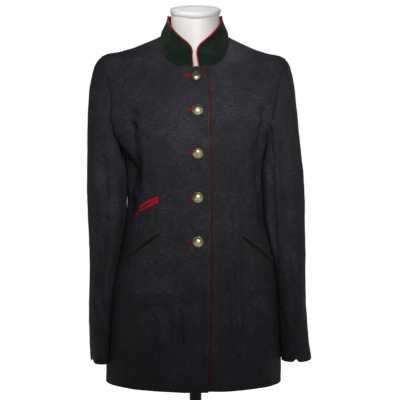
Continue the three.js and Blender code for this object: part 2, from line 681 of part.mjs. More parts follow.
function makeCollar() {
  const base = (x) => turnAt(x, neckRow);
  const top = (x) => THREE.MathUtils.radToDeg(Math.atan2(x - collarTop.shift, collarTop.fore));
  const from = { base: base(collarEnds.leftBase), top: top(collarEnds.leftTop) };
  const to = { base: 360 + base(collarEnds.rightBase), top: 360 + top(collarEnds.rightTop) };
  const columns = collarTurns(from.base, to.base).map((baseTurn) => {
    const share = (baseTurn - from.base) / (to.base - from.base);
    const topTurn = lerp(from.top, to.top, share);
    const turn = baseTurn > 180 ? baseTurn - 360 : baseTurn;
    const lift = turn < 0 ? lapLift(barePoint(turn, neckRow).x) : 0;
    return { baseTurn, topTurn, edge: bodyPoint(turn, neckRow, lift), normal: bodyNormal(turn, neckRow) };
  });
  const collarColumns = columns.length - 1;
  const starts = columns.map((column, i) => {
    const a = columns[Math.max(i - 1, 0)].edge;
    const b = columns[Math.min(i + 1, collarColumns)].edge;
    const into = b.clone().sub(a).cross(column.normal).normalize();
    if (into.z < 0) into.negate();
    const sideways = Math.abs(Math.sin(radians(column.baseTurn)));
    const bend = lerp(collarBend.front, collarBend.side, sideways ** 2);
    return seamStart(column.edge, column.normal, into, bend, feltWall);
  });
  const outer = [];
  for (let j = 0; j <= collarSteps; j += 1) {
    const f = j / collarSteps;
    outer.push(
      columns.map((column, i) => {
        const run = Math.min(i, collarColumns - i);
        const arc = (run * Math.PI * 2 * collarTop.half) / collarColumns;
        const nearEnd = Math.max(0, 1 - arc / cornerRun);
        const drop = cornerDrop * (1 - Math.sqrt(1 - nearEnd ** 2));
        const end = collarTopPoint(column.topTurn, drop);
        const start = starts[i];
        const reach = start.outer.distanceTo(end);
        const leave = start.outer.clone().addScaledVector(start.leave, reach / 4);
        const arrive = end.clone().add(new THREE.Vector3(0, 0, -reach / 3));
        return bezier(start.outer, leave, arrive, end, f);
      }),
    );
  }
  const inner = outer.map((line, j) =>
    line.map((point, i) => {
      if (j === 0) return starts[i].inner;
      const along = line[Math.min(i + 1, collarColumns)].clone().sub(line[Math.max(i - 1, 0)]);
      const up = outer[Math.min(j + 1, collarSteps)][i].clone().sub(outer[j - 1][i]);
      return point.clone().addScaledVector(along.cross(up).normalize(), -feltWall);
    }),
  );
  addMesh("collar", wall(outer, inner), feltFinish);
  makeCollarPiping(outer, inner);
}

// The piping runs up one end of the collar, round its free edge and down the other end
function makeCollarPiping(outer, inner) {
  const middle = (j, i) => outer[j][i].clone().lerp(inner[j][i], 0.5);
  const last = outer[0].length - 1;
  const edge = [];
  for (let j = 1; j < collarSteps; j += 1) edge.push([middle(j, 0), middle(j, 1)]);
  for (let i = 0; i <= last; i += 1) {
    const inset = Math.min(Math.max(i, 1), last - 1);
    edge.push([middle(collarSteps, i), middle(collarSteps - 1, inset)]);
  }
  for (let j = collarSteps - 1; j >= 1; j -= 1) edge.push([middle(j, last), middle(j, last - 1)]);
  const path = edge.map(([point, within], i) => {
    const along = edge[Math.min(i + 1, edge.length - 1)][0].clone().sub(edge[Math.max(i - 1, 0)][0]);
    along.normalize();
    const away = point.clone().sub(within);
    away.addScaledVector(along, -away.dot(along)).normalize();
    return point.clone().addScaledVector(away, pipingRadius + seamGap);
  });
  addMesh("collar_piping", cord(path, pipingRadius), pipingFinish);
}

// The piping down the right front's edge
function makeFrontPiping() {
  const path = frontRows.map((row) => {
    const turn = turnAt(stepped(rightEdge, "height", "x", body.front(row)), row);
    const lift = clothWall / 2 + lapGap;
    const away = (pipingRadius + seamGap) / body.fore(row);
    return bodyPoint(turn + THREE.MathUtils.radToDeg(away), row, lift);
  });
  addMesh("front_piping", cord(path, pipingRadius), pipingFinish);
}

// The piping round a cuff, just under the sleeve's end
function makeCuffPiping(name, sleeve) {
  const table = curves(sleeve.sections);
  const last = sleeve.sections.length - 1;
  const path = Array.from({ length: 28 }, (_, k) => {
    const point = sleevePoint(sleeve, table, (360 * k) / 28, last);
    const centreX = (sleeve.side * (table.outer(last) + table.inner(last))) / 2;
    const towards = new THREE.Vector3(centreX, 0, point.z).sub(point).normalize();
    point.addScaledVector(towards, clothWall / 2);
    point.z -= pipingRadius + seamGap;
    return point;
  });
  addMesh(name, cord(path, pipingRadius, true), pipingFinish);
}

// A strip laid on the cloth between two places, so high and thick. The ground gives its points.
function makeStrip(name, strip, thick, material, ground, steps = 8) {
  const line = (up, out) =>
    Array.from({ length: steps + 1 }, (_, i) => {
      const share = i / steps;
      const height = lerp(strip.fromHeight, strip.toHeight, share) + (up * strip.high) / 2;
      return ground(lerp(strip.fromTurn, strip.toTurn, share), rowAt(height), out);
    });
  const at = (out) => [line(-1, out), line(1, out)];
  addMesh(name, wall(at(laidGap + thick), at(laidGap)), material);
}

function makeButtonhole(name, button) {
  const row = rowAt(button.height);
  const strip = {
    fromTurn: turnAt(button.x - 2, row),
    toTurn: turnAt(button.x - buttonRadius - button.hole, row),
    fromHeight: button.height,
    toHeight: button.height,
    high: holeHigh,
  };
  makeStrip(name, strip, trimWall, pipingFinish, onRightFront, 4);
}

function makeButton(name, button) {
  const profile = [new THREE.Vector2(0, 0), new THREE.Vector2(buttonRadius - 1, 0)];
  profile.push(new THREE.Vector2(buttonRadius, buttonRim / 2));
  const steps = 5;
  for (let k = 0; k <= steps; k += 1) {
    const angle = (Math.PI / 2) * (k / steps);
    const across = k === steps ? 0 : buttonRadius * Math.cos(angle);
    profile.push(new THREE.Vector2(across, buttonRim + (buttonDome - buttonRim) * Math.sin(angle)));
  }
  const geometry = new THREE.LatheGeometry(profile, 18);
  const row = rowAt(button.height);
  const turn = turnAt(button.x, row);
  const mesh = addMesh(name, geometry, brassFinish);
  mesh.position.copy(onRightFront(turn, row, 2 * laidGap + trimWall));
  mesh.quaternion.setFromUnitVectors(new THREE.Vector3(0, 1, 0), bodyNormal(turn, row));
}

// The form follows the cloth from inside, narrows to a neck and ends in a low cap that slants forward
function makeForm() {
  const quarter = Array.from({ length: formColumns / 4 }, (_, k) => 90 * crowded((4 * k) / formColumns));
  const rest = quarter.slice(1).reverse();
  const turns = [
    ...quarter.map((turn) => turn - 180),
    -90,
    ...rest.map((turn) => -turn),
    ...quarter,
    90,
    ...rest.map((turn) => 180 - turn),
  ];
  const rows = [1.6, 3, 4.2, 5.4, 6.6, 7.8, 9, 9.8, 10.6, 11.3, 12, 12.6, 13.2, 13.7, 14];
  const inside = (turn, row) => {
    const ease = stepped(formEase, "row", "ease", row) + clothWall;
    const surface = (a, b) => barePoint(a, b, formReach + clothWall);
    return barePoint(turn, row, formReach).addScaledVector(outward(surface, turn, row), -ease);
  };
  const rings = rows.map((row) => turns.map((turn) => inside(turn, row)));
  rings[0].forEach((point) => point.setZ(formBottom));
  neckSections.forEach((section) => {
    rings.push(
      turns.map((turn) => {
        const radius = ringRadius(turn, section.half, section.fore, section.aft, 2);
        const ahead = Math.cos(radians(turn));
        const centre = ahead >= 0 ? section.front : section.back;
        const height = lerp(centre, section.side, 1 - Math.abs(ahead));
        return new THREE.Vector3(radius * Math.sin(radians(turn)), -radius * ahead, height);
      }),
    );
  });
  const points = rings.flat();
  const bottom = points.push(new THREE.Vector3(0, 0, formBottom)) - 1;
  const top = points.push(new THREE.Vector3(0, 2, capTop)) - 1;
  const index = [];
  const at = (j, k) => j * formColumns + (k % formColumns);
  for (let k = 0; k < formColumns; k += 1) {
    for (let j = 0; j < rings.length - 1; j += 1) {
      index.push(at(j, k), at(j, k + 1), at(j + 1, k + 1), at(j, k), at(j + 1, k + 1), at(j + 1, k));
    }
    index.push(bottom, at(0, k + 1), at(0, k));
    index.push(top, at(rings.length - 1, k), at(rings.length - 1, k + 1));
  }
  addMesh("dress_form", closedGeometry(points, index), formFinish);
}

function makeStand() {
  const poleHigh = formBottom - footHigh - 2 * seamGap;
  const pole = addMesh("pole", new THREE.CylinderGeometry(poleRadius, poleRadius, poleHigh, 24), poleFinish);
  pole.rotation.x = Math.PI / 2;
  pole.position.z = footHigh + seamGap + poleHigh / 2;
  const foot = addMesh("foot", new THREE.CylinderGeometry(footRadius, footRadius, footHigh, 40), poleFinish);
  foot.rotation.x = Math.PI / 2;
  foot.position.z = footHigh / 2;
}

const blazer = new THREE.Group();
makeFront("front_right", -1);
makeFront("front_left", 1);
makeSide("side_right", -1);
makeSide("side_left", 1);
makeBack("back_right", -1);
makeBack("back_left", 1);
makeSleeve("sleeve_right", sleeves.right);
makeSleeve("sleeve_left", sleeves.left);
makeCollar();
makeFrontPiping();
makeCuffPiping("cuff_piping_right", sleeves.right);
makeCuffPiping("cuff_piping_left", sleeves.left);
for (const side of ["right", "left"]) {
  makeStrip(`hip_welt_${side}`, hipWelts[side], weltWall, feltFinish, bodyPoint, 10);
}
for (const place of ["upper", "lower"]) {
  makeStrip(`ticket_jet_${place}`, ticketJets[place], trimWall, pipingFinish, onRightFront, 14);
}
buttons.forEach((button, i) => {
  makeButtonhole(`buttonhole_${i + 1}`, button);
  makeButton(`button_${i + 1}`, button);
});
makeForm();
makeStand();

export default blazer;
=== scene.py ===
"""A long blazer with a felt stand collar, buttoned up on a limbless dress form."""

import math
from collections import namedtuple

import bpy
import numpy as np
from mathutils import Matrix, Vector


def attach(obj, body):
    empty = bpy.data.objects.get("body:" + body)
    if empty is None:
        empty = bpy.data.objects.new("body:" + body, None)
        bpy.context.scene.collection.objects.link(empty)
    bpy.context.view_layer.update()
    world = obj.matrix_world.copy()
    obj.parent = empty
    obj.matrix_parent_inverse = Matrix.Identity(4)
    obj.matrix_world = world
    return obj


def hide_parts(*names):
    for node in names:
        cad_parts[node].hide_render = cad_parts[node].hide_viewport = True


bl_info = {
    "name": "Stand-collar blazer",
    "version": (1, 0, 0),
    "blender": (4, 5, 0),
    "location": "3D View > Sidebar > Blazer",
    "description": "Builds the blazer, its dress form and a plain studio round them",
    "category": "Add Mesh",
}

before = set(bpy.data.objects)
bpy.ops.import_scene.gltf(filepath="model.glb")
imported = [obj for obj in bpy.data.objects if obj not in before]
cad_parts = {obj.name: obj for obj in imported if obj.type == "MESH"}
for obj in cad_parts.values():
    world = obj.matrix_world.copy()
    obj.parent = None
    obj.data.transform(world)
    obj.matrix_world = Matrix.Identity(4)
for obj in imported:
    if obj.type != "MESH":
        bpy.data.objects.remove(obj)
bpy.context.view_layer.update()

# The tables below are in millimetres and degrees, in the frame of the model: +X to the viewer's
# right, -Y to the front, +Z up. A turn is an angle round the body from the centre front. A row is a
# place in BODY_ROWS and may lie between two of them.
MM = 0.001


def rows_of(kind, *rows):
    """The rows of a table, with their values named."""
    return tuple(kind(*row) for row in rows)


# The body: heights of a row at the centre front, side and centre back, its half width, its depth before
# and behind the form's axis, its squareness, how late and how sharply it rises to the side, how far its
# middle lies from the axis, how far it tips down to the viewer's right, and the turn of its panel seam
BodyRow = namedtuple("BodyRow", "front side back half fore aft square late rise shift tip panel")
BODY_ROWS = rows_of(
    BodyRow,
    (129.5, 133, 133, 183, 134, 130, 2.15, 0, 2, -4, 0, 54),
    (200, 200, 200, 182, 134, 131, 2.2, 0, 2, -4, 0, 54),
    (270, 270, 270, 180, 133, 131, 2.2, 0, 2, -4, 0, 54),
    (330, 330, 330, 175.5, 130, 128, 2.25, 0, 2, -1, 0, 54),
    (380, 380, 380, 166, 125, 121, 2.3, 0, 2, 2, 0, 55),
    (430, 430, 430, 153.5, 118, 110, 2.35, 0, 2, 1.5, 0, 56),
    (475, 475, 475, 146.5, 111, 101, 2.4, 0, 2, 1.5, 0, 57),
    (520, 520, 520, 143, 108, 96, 2.45, 0, 2, 0, 0, 58),
    (570, 570, 570, 143, 117, 98, 2.5, 0, 2, -2, 0, 62),
    (615, 615, 615, 151, 129, 105, 2.5, 0, 2, -3, 0, 69),
    (658, 668, 660, 172, 133, 111, 2.5, 0, 4, -4, 0.004, 76),
    (702, 738, 716, 188, 122, 112, 2.4, 0, 6, -4, 0.008, 76),
    (733, 808.5, 770, 194, 106, 103, 2.2, 0, 9, -4, 0.014, 76),
    (757, 827, 824, 132, 87, 84, 2.1, 0.4, 5, -3, 0.014, 76),
    (781, 852, 868, 71, 64, 62, 2.2, 1, 2, -2, 0.012, 76),
)
UNDERARM_ROW = 9
TIP_ROW = 12
NECK_ROW = 14
LATE_RISE = 1.5
ARMHOLE_BITE = 21
ARMHOLE_ROUND = 0.4
PANEL_SHARE = 0.18
SEAM_GAP = 0.08
SEAM_DIP = 0.9
SEAM_WIDE = 2.4
MM_A_DEGREE = 2.3
RIM_RADIUS = 0.5
LAP_LIFT = 2.75
LAP_FROM = -40
LAP_FULL = -24
LEFT_EDGE = -17
HEM_SHORTER = 1.5
HEM_SHORT_TURN = 28
HEM_SHORT_FADE = 15
SIDES = (("right", -1), ("left", 1))

Edge = namedtuple("Edge", "height x")
RIGHT_EDGE = rows_of(
    Edge,
    (131, 24),
    (190, 26.9),
    (240, 29),
    (307, 31),
    (430, 31.4),
    (600, 31),
    (680, 29.3),
    (747, 26),
    (781, 21.4),
)

# Largest folds, each from one row and turn to another, so wide and so high. Those of the body are as in
# the solids, but for the last two, which are only here.
Fold = namedtuple("Fold", "from_row from_turn to_row to_turn wide lift")
BODY_FOLDS = rows_of(
    Fold,
    (0.2, 31, 8.2, 42, 4.5, 5),
    (0.4, -16, 3.6, -17, 4, 4),
    (4.2, -33, 10.5, -36, 5, 3),
    (6.6, -62, 10.4, -48, 7, -7),
    (6.0, 70, 10.2, 62, 6, -5),
    (10.2, 33, 13.4, 30, 5, -3),
    (10.2, -52, 12.8, -50, 5, 4),
    (-0.8, -46, 4.2, -46, 6, 4),
    (-0.8, 62, 4.2, 62, 6, 4),
    (-0.8, 118, 5.5, 122, 6, 5),
    (-0.8, -116, 5.2, -121, 6, 5),
    (-0.8, 152, 6.4, 150, 6, 4),
    (-0.8, -150, 6.0, -149, 6, 4),
    (7.0, 128, 11.6, 124, 6, 4),
    (7.2, -126, 11.6, -125, 6, 4),
    (11.8, -90, 12.95, -90, 16, -3.6),
    (11.8, 90, 12.95, 90, 16, -3),
)

# A sleeve's head leaves the shoulder and arrives at the first section by so much, and leans in at the
# arrival. Its sections go down the arm, each drawn in towards the body at its front. The notch is where
# the cuff's edge rises, and ease draws back the front of its inner side.
Section = namedtuple("Section", "height outer inner fore aft draw")
Sleeve = namedtuple("Sleeve", "name side leave lean arrive sections folds notch ease")
SLEEVES = (
    Sleeve(
        "right", -1, 34, 0, 122,
        rows_of(
            Section,
            (572, 227.5, 138, 74, 60, 4),
            (520, 228, 143, 73, 60, 11),
            (465, 226, 144, 71, 58, 12),
            (411, 223, 152.5, 69, 55, 12),
            (352, 223, 162, 67, 52, 10),
            (290, 224, 170, 66, 49, 10),
            (228, 223, 174, 65, 47, 9),
            (176, 220, 176, 63, 45, 8),
        ),
        rows_of(
            Fold,
            (-0.9, 118, 4.4, 100, 13, 4),
            (0.2, 62, 6.6, 58, 11, 3.5),
            (3.4, 96, 7.6, 70, 11, 3),
            (0.6, 292, 6.4, 296, 13, 3.5),
        ),
        -213,
        0.3,
    ),
    Sleeve(
        "left", 1, 25, 15, 102,
        rows_of(
            Section,
            (572, 226.8, 137, 74, 60, 9),
            (520, 229.3, 138, 74, 60, 10),
            (465, 230, 139, 73, 58, 10),
            (411, 231, 150, 72, 55, 8),
            (352, 231, 162, 71, 52, 6),
            (290, 232.5, 170, 70, 49, 6),
            (228, 237, 174, 68, 47, 6),
            (181, 243, 178, 66, 45, 6),
        ),
        rows_of(
            Fold,
            (-0.9, 122, 4.6, 118, 12, 4),
            (0.8, 66, 7.2, 72, 12, 3.5),
            (0.6, 292, 6.4, 296, 13, 3.5),
        ),
        205,
        0.1,
    ),
)
SLEEVE_AXIS = 195
SLEEVE_MM_A_DEGREE = 1.1
SLEEVE_SQUARE = 2.3
SLEEVE_CLEAR = 1.3
SLEEVE_CREASE_SHARE = 1.2
UNDER_LEAVE = 7
UNDER_ARRIVE = 14
FRONT_SEAM = 140
BACK_SEAM = 262
NOTCH_HIGH = 7
NOTCH_HALF_WIDE = 6

# How finely the panels, the sleeves and the collar are divided: points across, and rows up to the
# armhole and along it
Fineness = namedtuple("Fineness", "across low armhole")
FRONT_FINENESS = Fineness(76, 150, 56)
SIDE_FINENESS = Fineness(30, 170, 0)
BACK_FINENESS = Fineness(66, 140, 64)
SHOULDER_ROWS = 44
SLEEVE_HALF_ROUND = 46
SLEEVE_HEAD_ROWS = 60
SLEEVE_ROWS = 170
COLLAR_COLUMNS = 200
COLLAR_ROWS = 26

# The soft unevenness of the cloth: layers of noise, each so high, with cells so large and repeating
# after so many of them round the body or the arm
Slack = namedtuple("Slack", "lift size seed around")
NOISE_CELLS = (199, 131)
BODY_SLACK = (Slack(0.5, 12, 5, 30), Slack(0.28, 5, 9, 72), Slack(0.12, 2.2, 3, 164))
SLEEVE_SLACK = (Slack(0.5, 24, 21, 15), Slack(0.25, 10, 31, 36))

# The camera looks level, from just under the height of the waist and a little to the right of the
# form's axis
VIEW_DISTANCE = 2200
VIEW_HEIGHT = 510
VIEW_ASIDE = 9.45

# Creases as they are seen from straight before or behind: across and up in millimetres, at the
# scale of the form's axis. Each bows to one side by so much, is so wide, leans its steeper side to
# the left at 1, or down where it runs flat, and the other way at -1, and lifts the cloth so far or
# dips it.
Crease = namedtuple("Crease", "from_x from_z to_x to_z bow wide lean lift")
BODY_FRONT_CREASES = rows_of(
    Crease,
    (-138, 728, -143, 596, 2, 15, 0.2, -9.5),
    (-142, 628, -147, 458, 2, 15, 0.3, -10),
    (147, 722, 143, 600, -2, 10, 0, -7.5),
    (143, 622, 142, 430, -2, 9.5, 0, -7.0),
    (-170, 722, -156, 590, 3, 7, -0.3, 5.0),
    (-136, 777, -149, 725, 3, 5, 0.3, 2.2),
    (-134, 738, -128, 700, -3, 9, 0, -2.0),
    (-112, 672, -150, 600, 6, 8, -0.4, 3.4),
    (-118, 700, -146, 645, 8, 12, 0.3, -4.2),
    (-112, 622, -142, 560, 5, 9, 0.3, -3.4),
    (-104, 640, -132, 592, 3, 6, 0.2, 2.0),
    (-124, 588, -130, 494, 3, 9, -0.2, -3.4),
    (-86, 735, -84, 600, -4, 9, 0.2, 1.6),
    (-60, 738, -64, 640, 3, 8, 0, 1.0),
    (72, 806, 84, 758, 3, 3.4, 0.4, -1.9),
    (84, 800, 92, 752, 3, 6, 0, 1.4),
    (48, 694, 86, 660, 4, 15, 0, 1.8),
    (129, 652, 158, 676, 3, 6, -0.4, -2.8),
    (128, 640, 137, 540, 3, 5.5, 0.3, -3.6),
    (140, 600, 141, 516, 2, 2.4, 0, -3.0),
    (112, 662, 116, 560, 3, 7, 0, 2.6),
    (158, 632, 172, 380, 4, 4, 0.3, -3.0),
    (82, 640, 83, 420, 3, 7.5, 0.5, 2.6),
    (83, 430, 88, 176, -3, 5.5, 0.5, 4.0),
    (70, 420, 73, 186, 2, 4.5, -0.4, -2.0),
    (101, 392, 104, 190, 2, 6, 0, -1.8),
    (-4, 574, 12, 572, 2, 5, 0, -1.8),
    (18, 684, 24, 668, 1, 3, 0, -1.2),
    (47, 458, 60, 450, 2, 6, 0, -2.0),
    (36, 404, 72, 412, -3, 5, 0.3, -1.8),
    (-96, 346, -54, 376, 3, 5, 0.2, -2.4),
    (-110, 352, -62, 392, 4, 7, 0, 1.5),
    (-140, 312, 6, 306, -3, 7, 0.6, 3.2),
    (-132, 286, -48, 291, 4, 7, -0.4, -3.8),
    (-48, 294, 4, 294, 2, 5, -0.3, -3.0),
    (-42, 314, -36, 150, 2, 4.2, 0.4, 4.0),
    (-30, 318, -26, 168, 2, 4.6, -0.4, -3.4),
    (-54, 286, -52, 172, 2, 7, 0, -1.6),
    (-96, 300, -86, 140, 4, 16, 0, -4.0),
    (62, 330, 60, 136, -3, 13, 0, -3.2),
    (112, 300, 120, 140, -3, 12, 0, 2.6),
    (-134, 262, -92, 232, 4, 8, 0, 1.8),
    (-128, 188, -64, 176, 4, 9, 0, 1.8),
    (17, 360, 16, 136, 2, 5, 0.3, -3.2),
    (44, 396, 46, 200, 2, 5, 0, 1.8),
    (100, 322, 172, 330, 3, 5, 0.3, 1.6),
    (104, 312, 176, 318, 3, 4, 0, -1.6),
    (108, 296, 158, 302, 3, 5, 0, 1.0),
    (106, 240, 180, 232, 4, 6, 0.4, -2.4),
    (120, 262, 168, 268, -4, 9, 0, 1.6),
    (96, 186, 150, 170, 5, 9, 0, 1.6),
    (-70, 560, -20, 572, 4, 6, 0, 0.9),
    (-72, 536, -10, 534, 4, 7, 0, -1.0),
    (30, 540, 76, 524, 4, 7, 0, -1.0),
    (-60, 470, -14, 452, 4, 8, 0, 1.2),
    (28, 486, 70, 470, -4, 7, 0, 1.1),
    (-96, 450, -60, 462, 3, 6, 0, 1.0),
)
BODY_BACK_CREASES = rows_of(
    Crease,
    (-150, 760, -120, 640, 6, 9, 0.3, 2.8),
    (148, 752, 122, 630, -6, 8, -0.3, 2.6),
    (-132, 690, -88, 600, 5, 10, 0, -2.4),
    (130, 684, 92, 606, -5, 9, 0, -2.2),
    (-92, 556, 84, 548, 5, 7, 0.3, 1.9),
    (-84, 540, 90, 532, 6, 6, -0.3, -2.3),
    (-70, 516, 64, 520, -5, 7, 0.2, 1.6),
    (-60, 498, 76, 492, 4, 6, 0, -1.6),
    (-110, 448, -36, 430, 4, 8, 0, 1.6),
    (34, 438, 112, 452, -4, 8, 0, 1.6),
    (-76, 420, -84, 170, 4, 8, 0.4, 3.0),
    (64, 414, 70, 182, -3, 7, -0.4, 2.8),
    (-32, 330, -30, 150, 2, 6, 0.3, -2.0),
    (36, 352, 40, 160, -2, 6, -0.3, -2.2),
    (-120, 300, -60, 276, 5, 9, 0, 1.6),
    (58, 250, 132, 268, 5, 8, 0, -1.7),
    (-50, 838, -24, 800, 3, 6, 0, 1.3),
    (54, 832, 26, 792, -3, 6, 0, 1.2),
    (-20, 742, -26, 620, 3, 10, 0, 1.5),
    (28, 716, 24, 600, -3, 10, 0, 1.4),
)
SLEEVE_FRONT_CREASES = rows_of(
    Crease,
    (-184, 780, -166, 640, -5, 6, 0.5, 3.4),
    (-160, 655, -153, 540, -2, 6, 0.5, 3.4),
    (-195, 548, -199, 290, 2, 4.5, 0.4, 4.6),
    (-185, 430, -190, 230, -2, 4, -0.3, 3.4),
    (-178, 668, -180, 560, 4, 7, 0, 2.2),
    (-190, 620, -186, 500, 3, 8, 0, -2.4),
    (-205, 600, -204, 390, 4, 6, 0.2, 2.2),
    (-186, 566, -184, 470, 2, 6, -0.3, -2.2),
    (-176, 520, -174, 360, 3, 6, 0, 1.8),
    (-212, 356, -194, 214, 5, 5, 0.3, 2.6),
    (-203, 372, -184, 236, 4, 6, 0, -1.8),
    (-178, 340, -182, 220, 3, 6, 0, 1.4),
    (-214, 700, -208, 620, 3, 8, 0, -1.6),
    (-200, 500, -168, 478, 4, 6, 0, 1.8),
    (-204, 482, -166, 462, 4, 5, 0, -1.6),
    (-196, 446, -166, 452, 4, 6, 0, 1.3),
    (176, 756, 165, 640, 4, 5, -0.5, 5.0),
    (165, 655, 170, 500, -4, 5.5, -0.4, 4.0),
    (173, 530, 184, 330, -3, 6, -0.3, 2.6),
    (182, 700, 190, 560, 3, 5, 0, -3.0),
    (158, 656, 167, 500, -2, 2.8, 0, -3.6),
    (166, 530, 172, 366, 2, 3, 0, -3.8),
    (154, 620, 160, 430, -1, 6, 0, -3.6),
    (190, 600, 194, 440, 3, 7, 0, -3.4),
    (204, 640, 208, 500, 3, 8, 0, 1.8),
    (193, 486, 196, 290, 3, 6, 0, 2.2),
    (206, 430, 214, 240, 3, 6, 0.3, -1.8),
    (218, 420, 226, 230, 3, 6, 0, 1.8),
    (180, 470, 216, 486, 4, 6, 0, 1.7),
    (182, 452, 214, 464, 4, 5, 0, -1.5),
    (188, 300, 200, 210, -3, 6, 0, 1.8),
    (204, 730, 196, 668, 3, 9, 0, -1.6),
)
SLEEVE_BACK_CREASES = rows_of(
    Crease,
    (-210, 560, -168, 520, 4, 8, 0.3, 2.6),
    (-208, 528, -166, 498, 4, 6, -0.3, -2.4),
    (-206, 494, -168, 472, 4, 7, 0.2, 2.0),
    (-196, 700, -178, 580, 5, 9, 0, 2.0),
    (-196, 430, -200, 240, 3, 8, 0.3, 1.8),
    (212, 552, 170, 516, -4, 8, -0.3, 2.6),
    (210, 520, 168, 492, -4, 6, 0.3, -2.4),
    (208, 486, 170, 466, -4, 7, -0.2, 2.0),
    (198, 694, 180, 574, -5, 9, 0, 2.0),
    (202, 420, 210, 236, -3, 8, -0.3, 1.8),
)

# A closed ring of the form's neck or the collar's edge, with its heights at the front, side and back
Ring = namedtuple("Ring", "front side back half fore aft square rise shift", defaults=(2, 1, 0))
COLLAR_TOP = Ring(824, 895, 904, 58, 55, 60, 2.1, 0.66, -1.5)
CollarEnd = namedtuple("CollarEnd", "base top")
COLLAR_LEFT = CollarEnd(9, 4)
COLLAR_RIGHT = CollarEnd(-5.8, -7)
FELT_WALL = 2.4
# The middle of the piping lies this far outside the edge that it is sewn into
PIPING_OUT = 1.1
COLLAR_BEND_FRONT = 28
COLLAR_BEND_SIDE = 80
CORNER_RUN = 15
CORNER_DROP = 12

Button = namedtuple("Button", "x height hole")
BUTTONS = (
    Button(1.6, 757, 13),
    Button(4.5, 687.5, 12),
    Button(5.3, 603, 8),
    Button(5.3, 514.6, 7.5),
    Button(5.7, 426, 7.5),
)

# Laid-on strips pass through places as seen from the front, at the scale of the form's axis
Pass = namedtuple("Pass", "x z high")
HIP_WELTS = {
    "right": rows_of(
        Pass, (-75, 438, 6), (-92, 427, 8.5), (-112, 413, 9),
        (-134, 397, 8.5), (-153, 383, 7),
    ),
    "left": rows_of(
        Pass, (98, 433, 6), (115, 421, 8.5), (134, 406, 9),
        (153, 391, 8.5), (170, 378, 7),
    ),
}
TICKET_JETS = {
    "upper": rows_of(
        Pass, (-77, 514.4, 5.8), (-87, 511.2, 5.6), (-97, 506.8, 5.3), (-107, 501.4, 4.8),
        (-115, 495.6, 3.8), (-120.4, 489.4, 2.8),
    ),
    "lower": rows_of(
        Pass, (-77, 507.6, 5.8), (-87, 503.4, 5.6), (-97, 498, 5.3), (-106, 492.8, 4.4),
        (-113, 489, 3.2), (-118.4, 486.6, 2.4),
    ),
}
TICKET_TAIL = rows_of(
    Pass,
    (-118.8, 489.2, 3), (-122.6, 482.6, 2.8), (-126.4, 476.6, 3),
    (-128.6, 473, 4.6), (-130.6, 469.6, 4.6),
)

# The form lies so far inside the cloth, and yields to a dip deeper than its slack. Its half width is
# its reach at most, and its neck goes up in rings to the cap.
FormEase = namedtuple("FormEase", "row ease")
FORM_EASE = rows_of(
    FormEase,
    (1.6, 30),
    (3, 22),
    (5, 14),
    (7, 9),
    (9, 11),
    (10.5, 6),
    (12, 2.2),
    (14, 3.5),
)
FORM_ROWS = (1.6, 3, 4.2, 5.4, 6.6, 7.8, 9, 9.8, 10.6, 11.3, 12, 12.6, 13.2, 13.7, 14)
FORM_REACH = 158
FORM_BOTTOM = 250
FORM_YIELD = 1.15
FORM_SLACK = 0.6
FORM_FINER = 4
NECK_RINGS = rows_of(
    Ring,
    (800, 872, 884, 52.5, 48, 51),
    (836, 886, 893, 51.5, 47, 51),
    (878, 894.5, 911, 51.1, 46, 50.8),
    (883.4, 899.6, 915.6, 51.2, 46, 51),
    (885.4, 901.6, 917.6, 52.3, 47, 52),
    (887.4, 903.6, 919.6, 53.3, 48, 53),
    (891.6, 907.8, 924, 53.6, 48.2, 53.2),
    (894.8, 911, 927, 52.6, 47.4, 52.4),
    (896.6, 912.4, 928, 50, 45, 50),
    (898.6, 912.6, 927, 45, 40, 45),
    (904.4, 913.2, 923, 28, 24, 29),
    (910, 914.2, 918.6, 12, 10, 13),
)
CAP_TOP = 915

Lathe = namedtuple("Lathe", "radius height")
FOOT_PROFILE = rows_of(
    Lathe,
    (0, 0), (143, 0), (144.6, 0.6), (145, 2), (144.4, 3.4),
    (142, 5), (120, 7.2), (70, 9.6), (34, 11), (24, 11.8), (0, 12),
)
POLE_PROFILE = rows_of(
    Lathe,
    (0, 12.3), (20, 12.3), (20.6, 13), (20.6, 26), (19.6, 27.4),
    (13.4, 28), (12.5, 29), (12.5, 236), (12.5, 249.7), (0, 249.7),
)
BUTTON_PROFILE = rows_of(
    Lathe,
    (0, 0), (9.2, 0), (10.3, 0.15), (10.9, 0.6), (11, 1.1),
    (10.8, 1.6), (10.35, 1.85), (9.95, 1.75), (9.7, 1.85), (9.2, 2.55),
    (8.2, 3.4), (6.8, 4.25), (5, 4.95), (3.2, 5.35), (1.5, 5.5), (0, 5.5),
)

# Lamps in metres, each with its share of the key light's power
Lamp = namedtuple("Lamp", "name place aim size share spread")
LAMPS = (
    Lamp("key_light", (0.12, -1.05, 0.9), (0, 0, 0.72), (0.4, 0.3), 1, 74),
    Lamp("right_light", (1.3, -0.7, 1.3), (0, 0, 0.7), (0.7, 0.7), 0.25, 100),
    Lamp("left_light", (-1.4, 0.3, 1.2), (0, 0, 0.6), (0.7, 0.7), 0.4, 100),
    Lamp("back_light", (0.4, 1.4, 1.1), (0, 0, 0.64), (0.6, 0.5), 1, 90),
    Lamp("cap_light", (-0.5, -0.5, 1.7), (-0.01, -0.02, 0.93), (0.12, 0.12), 0.045, 11),
)


def lerp(a, b, share):
    return a + (b - a) * share


def smooth(value, low, high):
    share = np.clip((np.asarray(value, float) - low) / (high - low), 0, 1)
    return share * share * (3 - 2 * share)


def sine(turn):
    return np.sin(np.radians(turn))


def cosine(turn):
    return np.cos(np.radians(turn))


def paired(turn, row):
    return np.broadcast_arrays(np.asarray(turn, float), np.asarray(row, float))


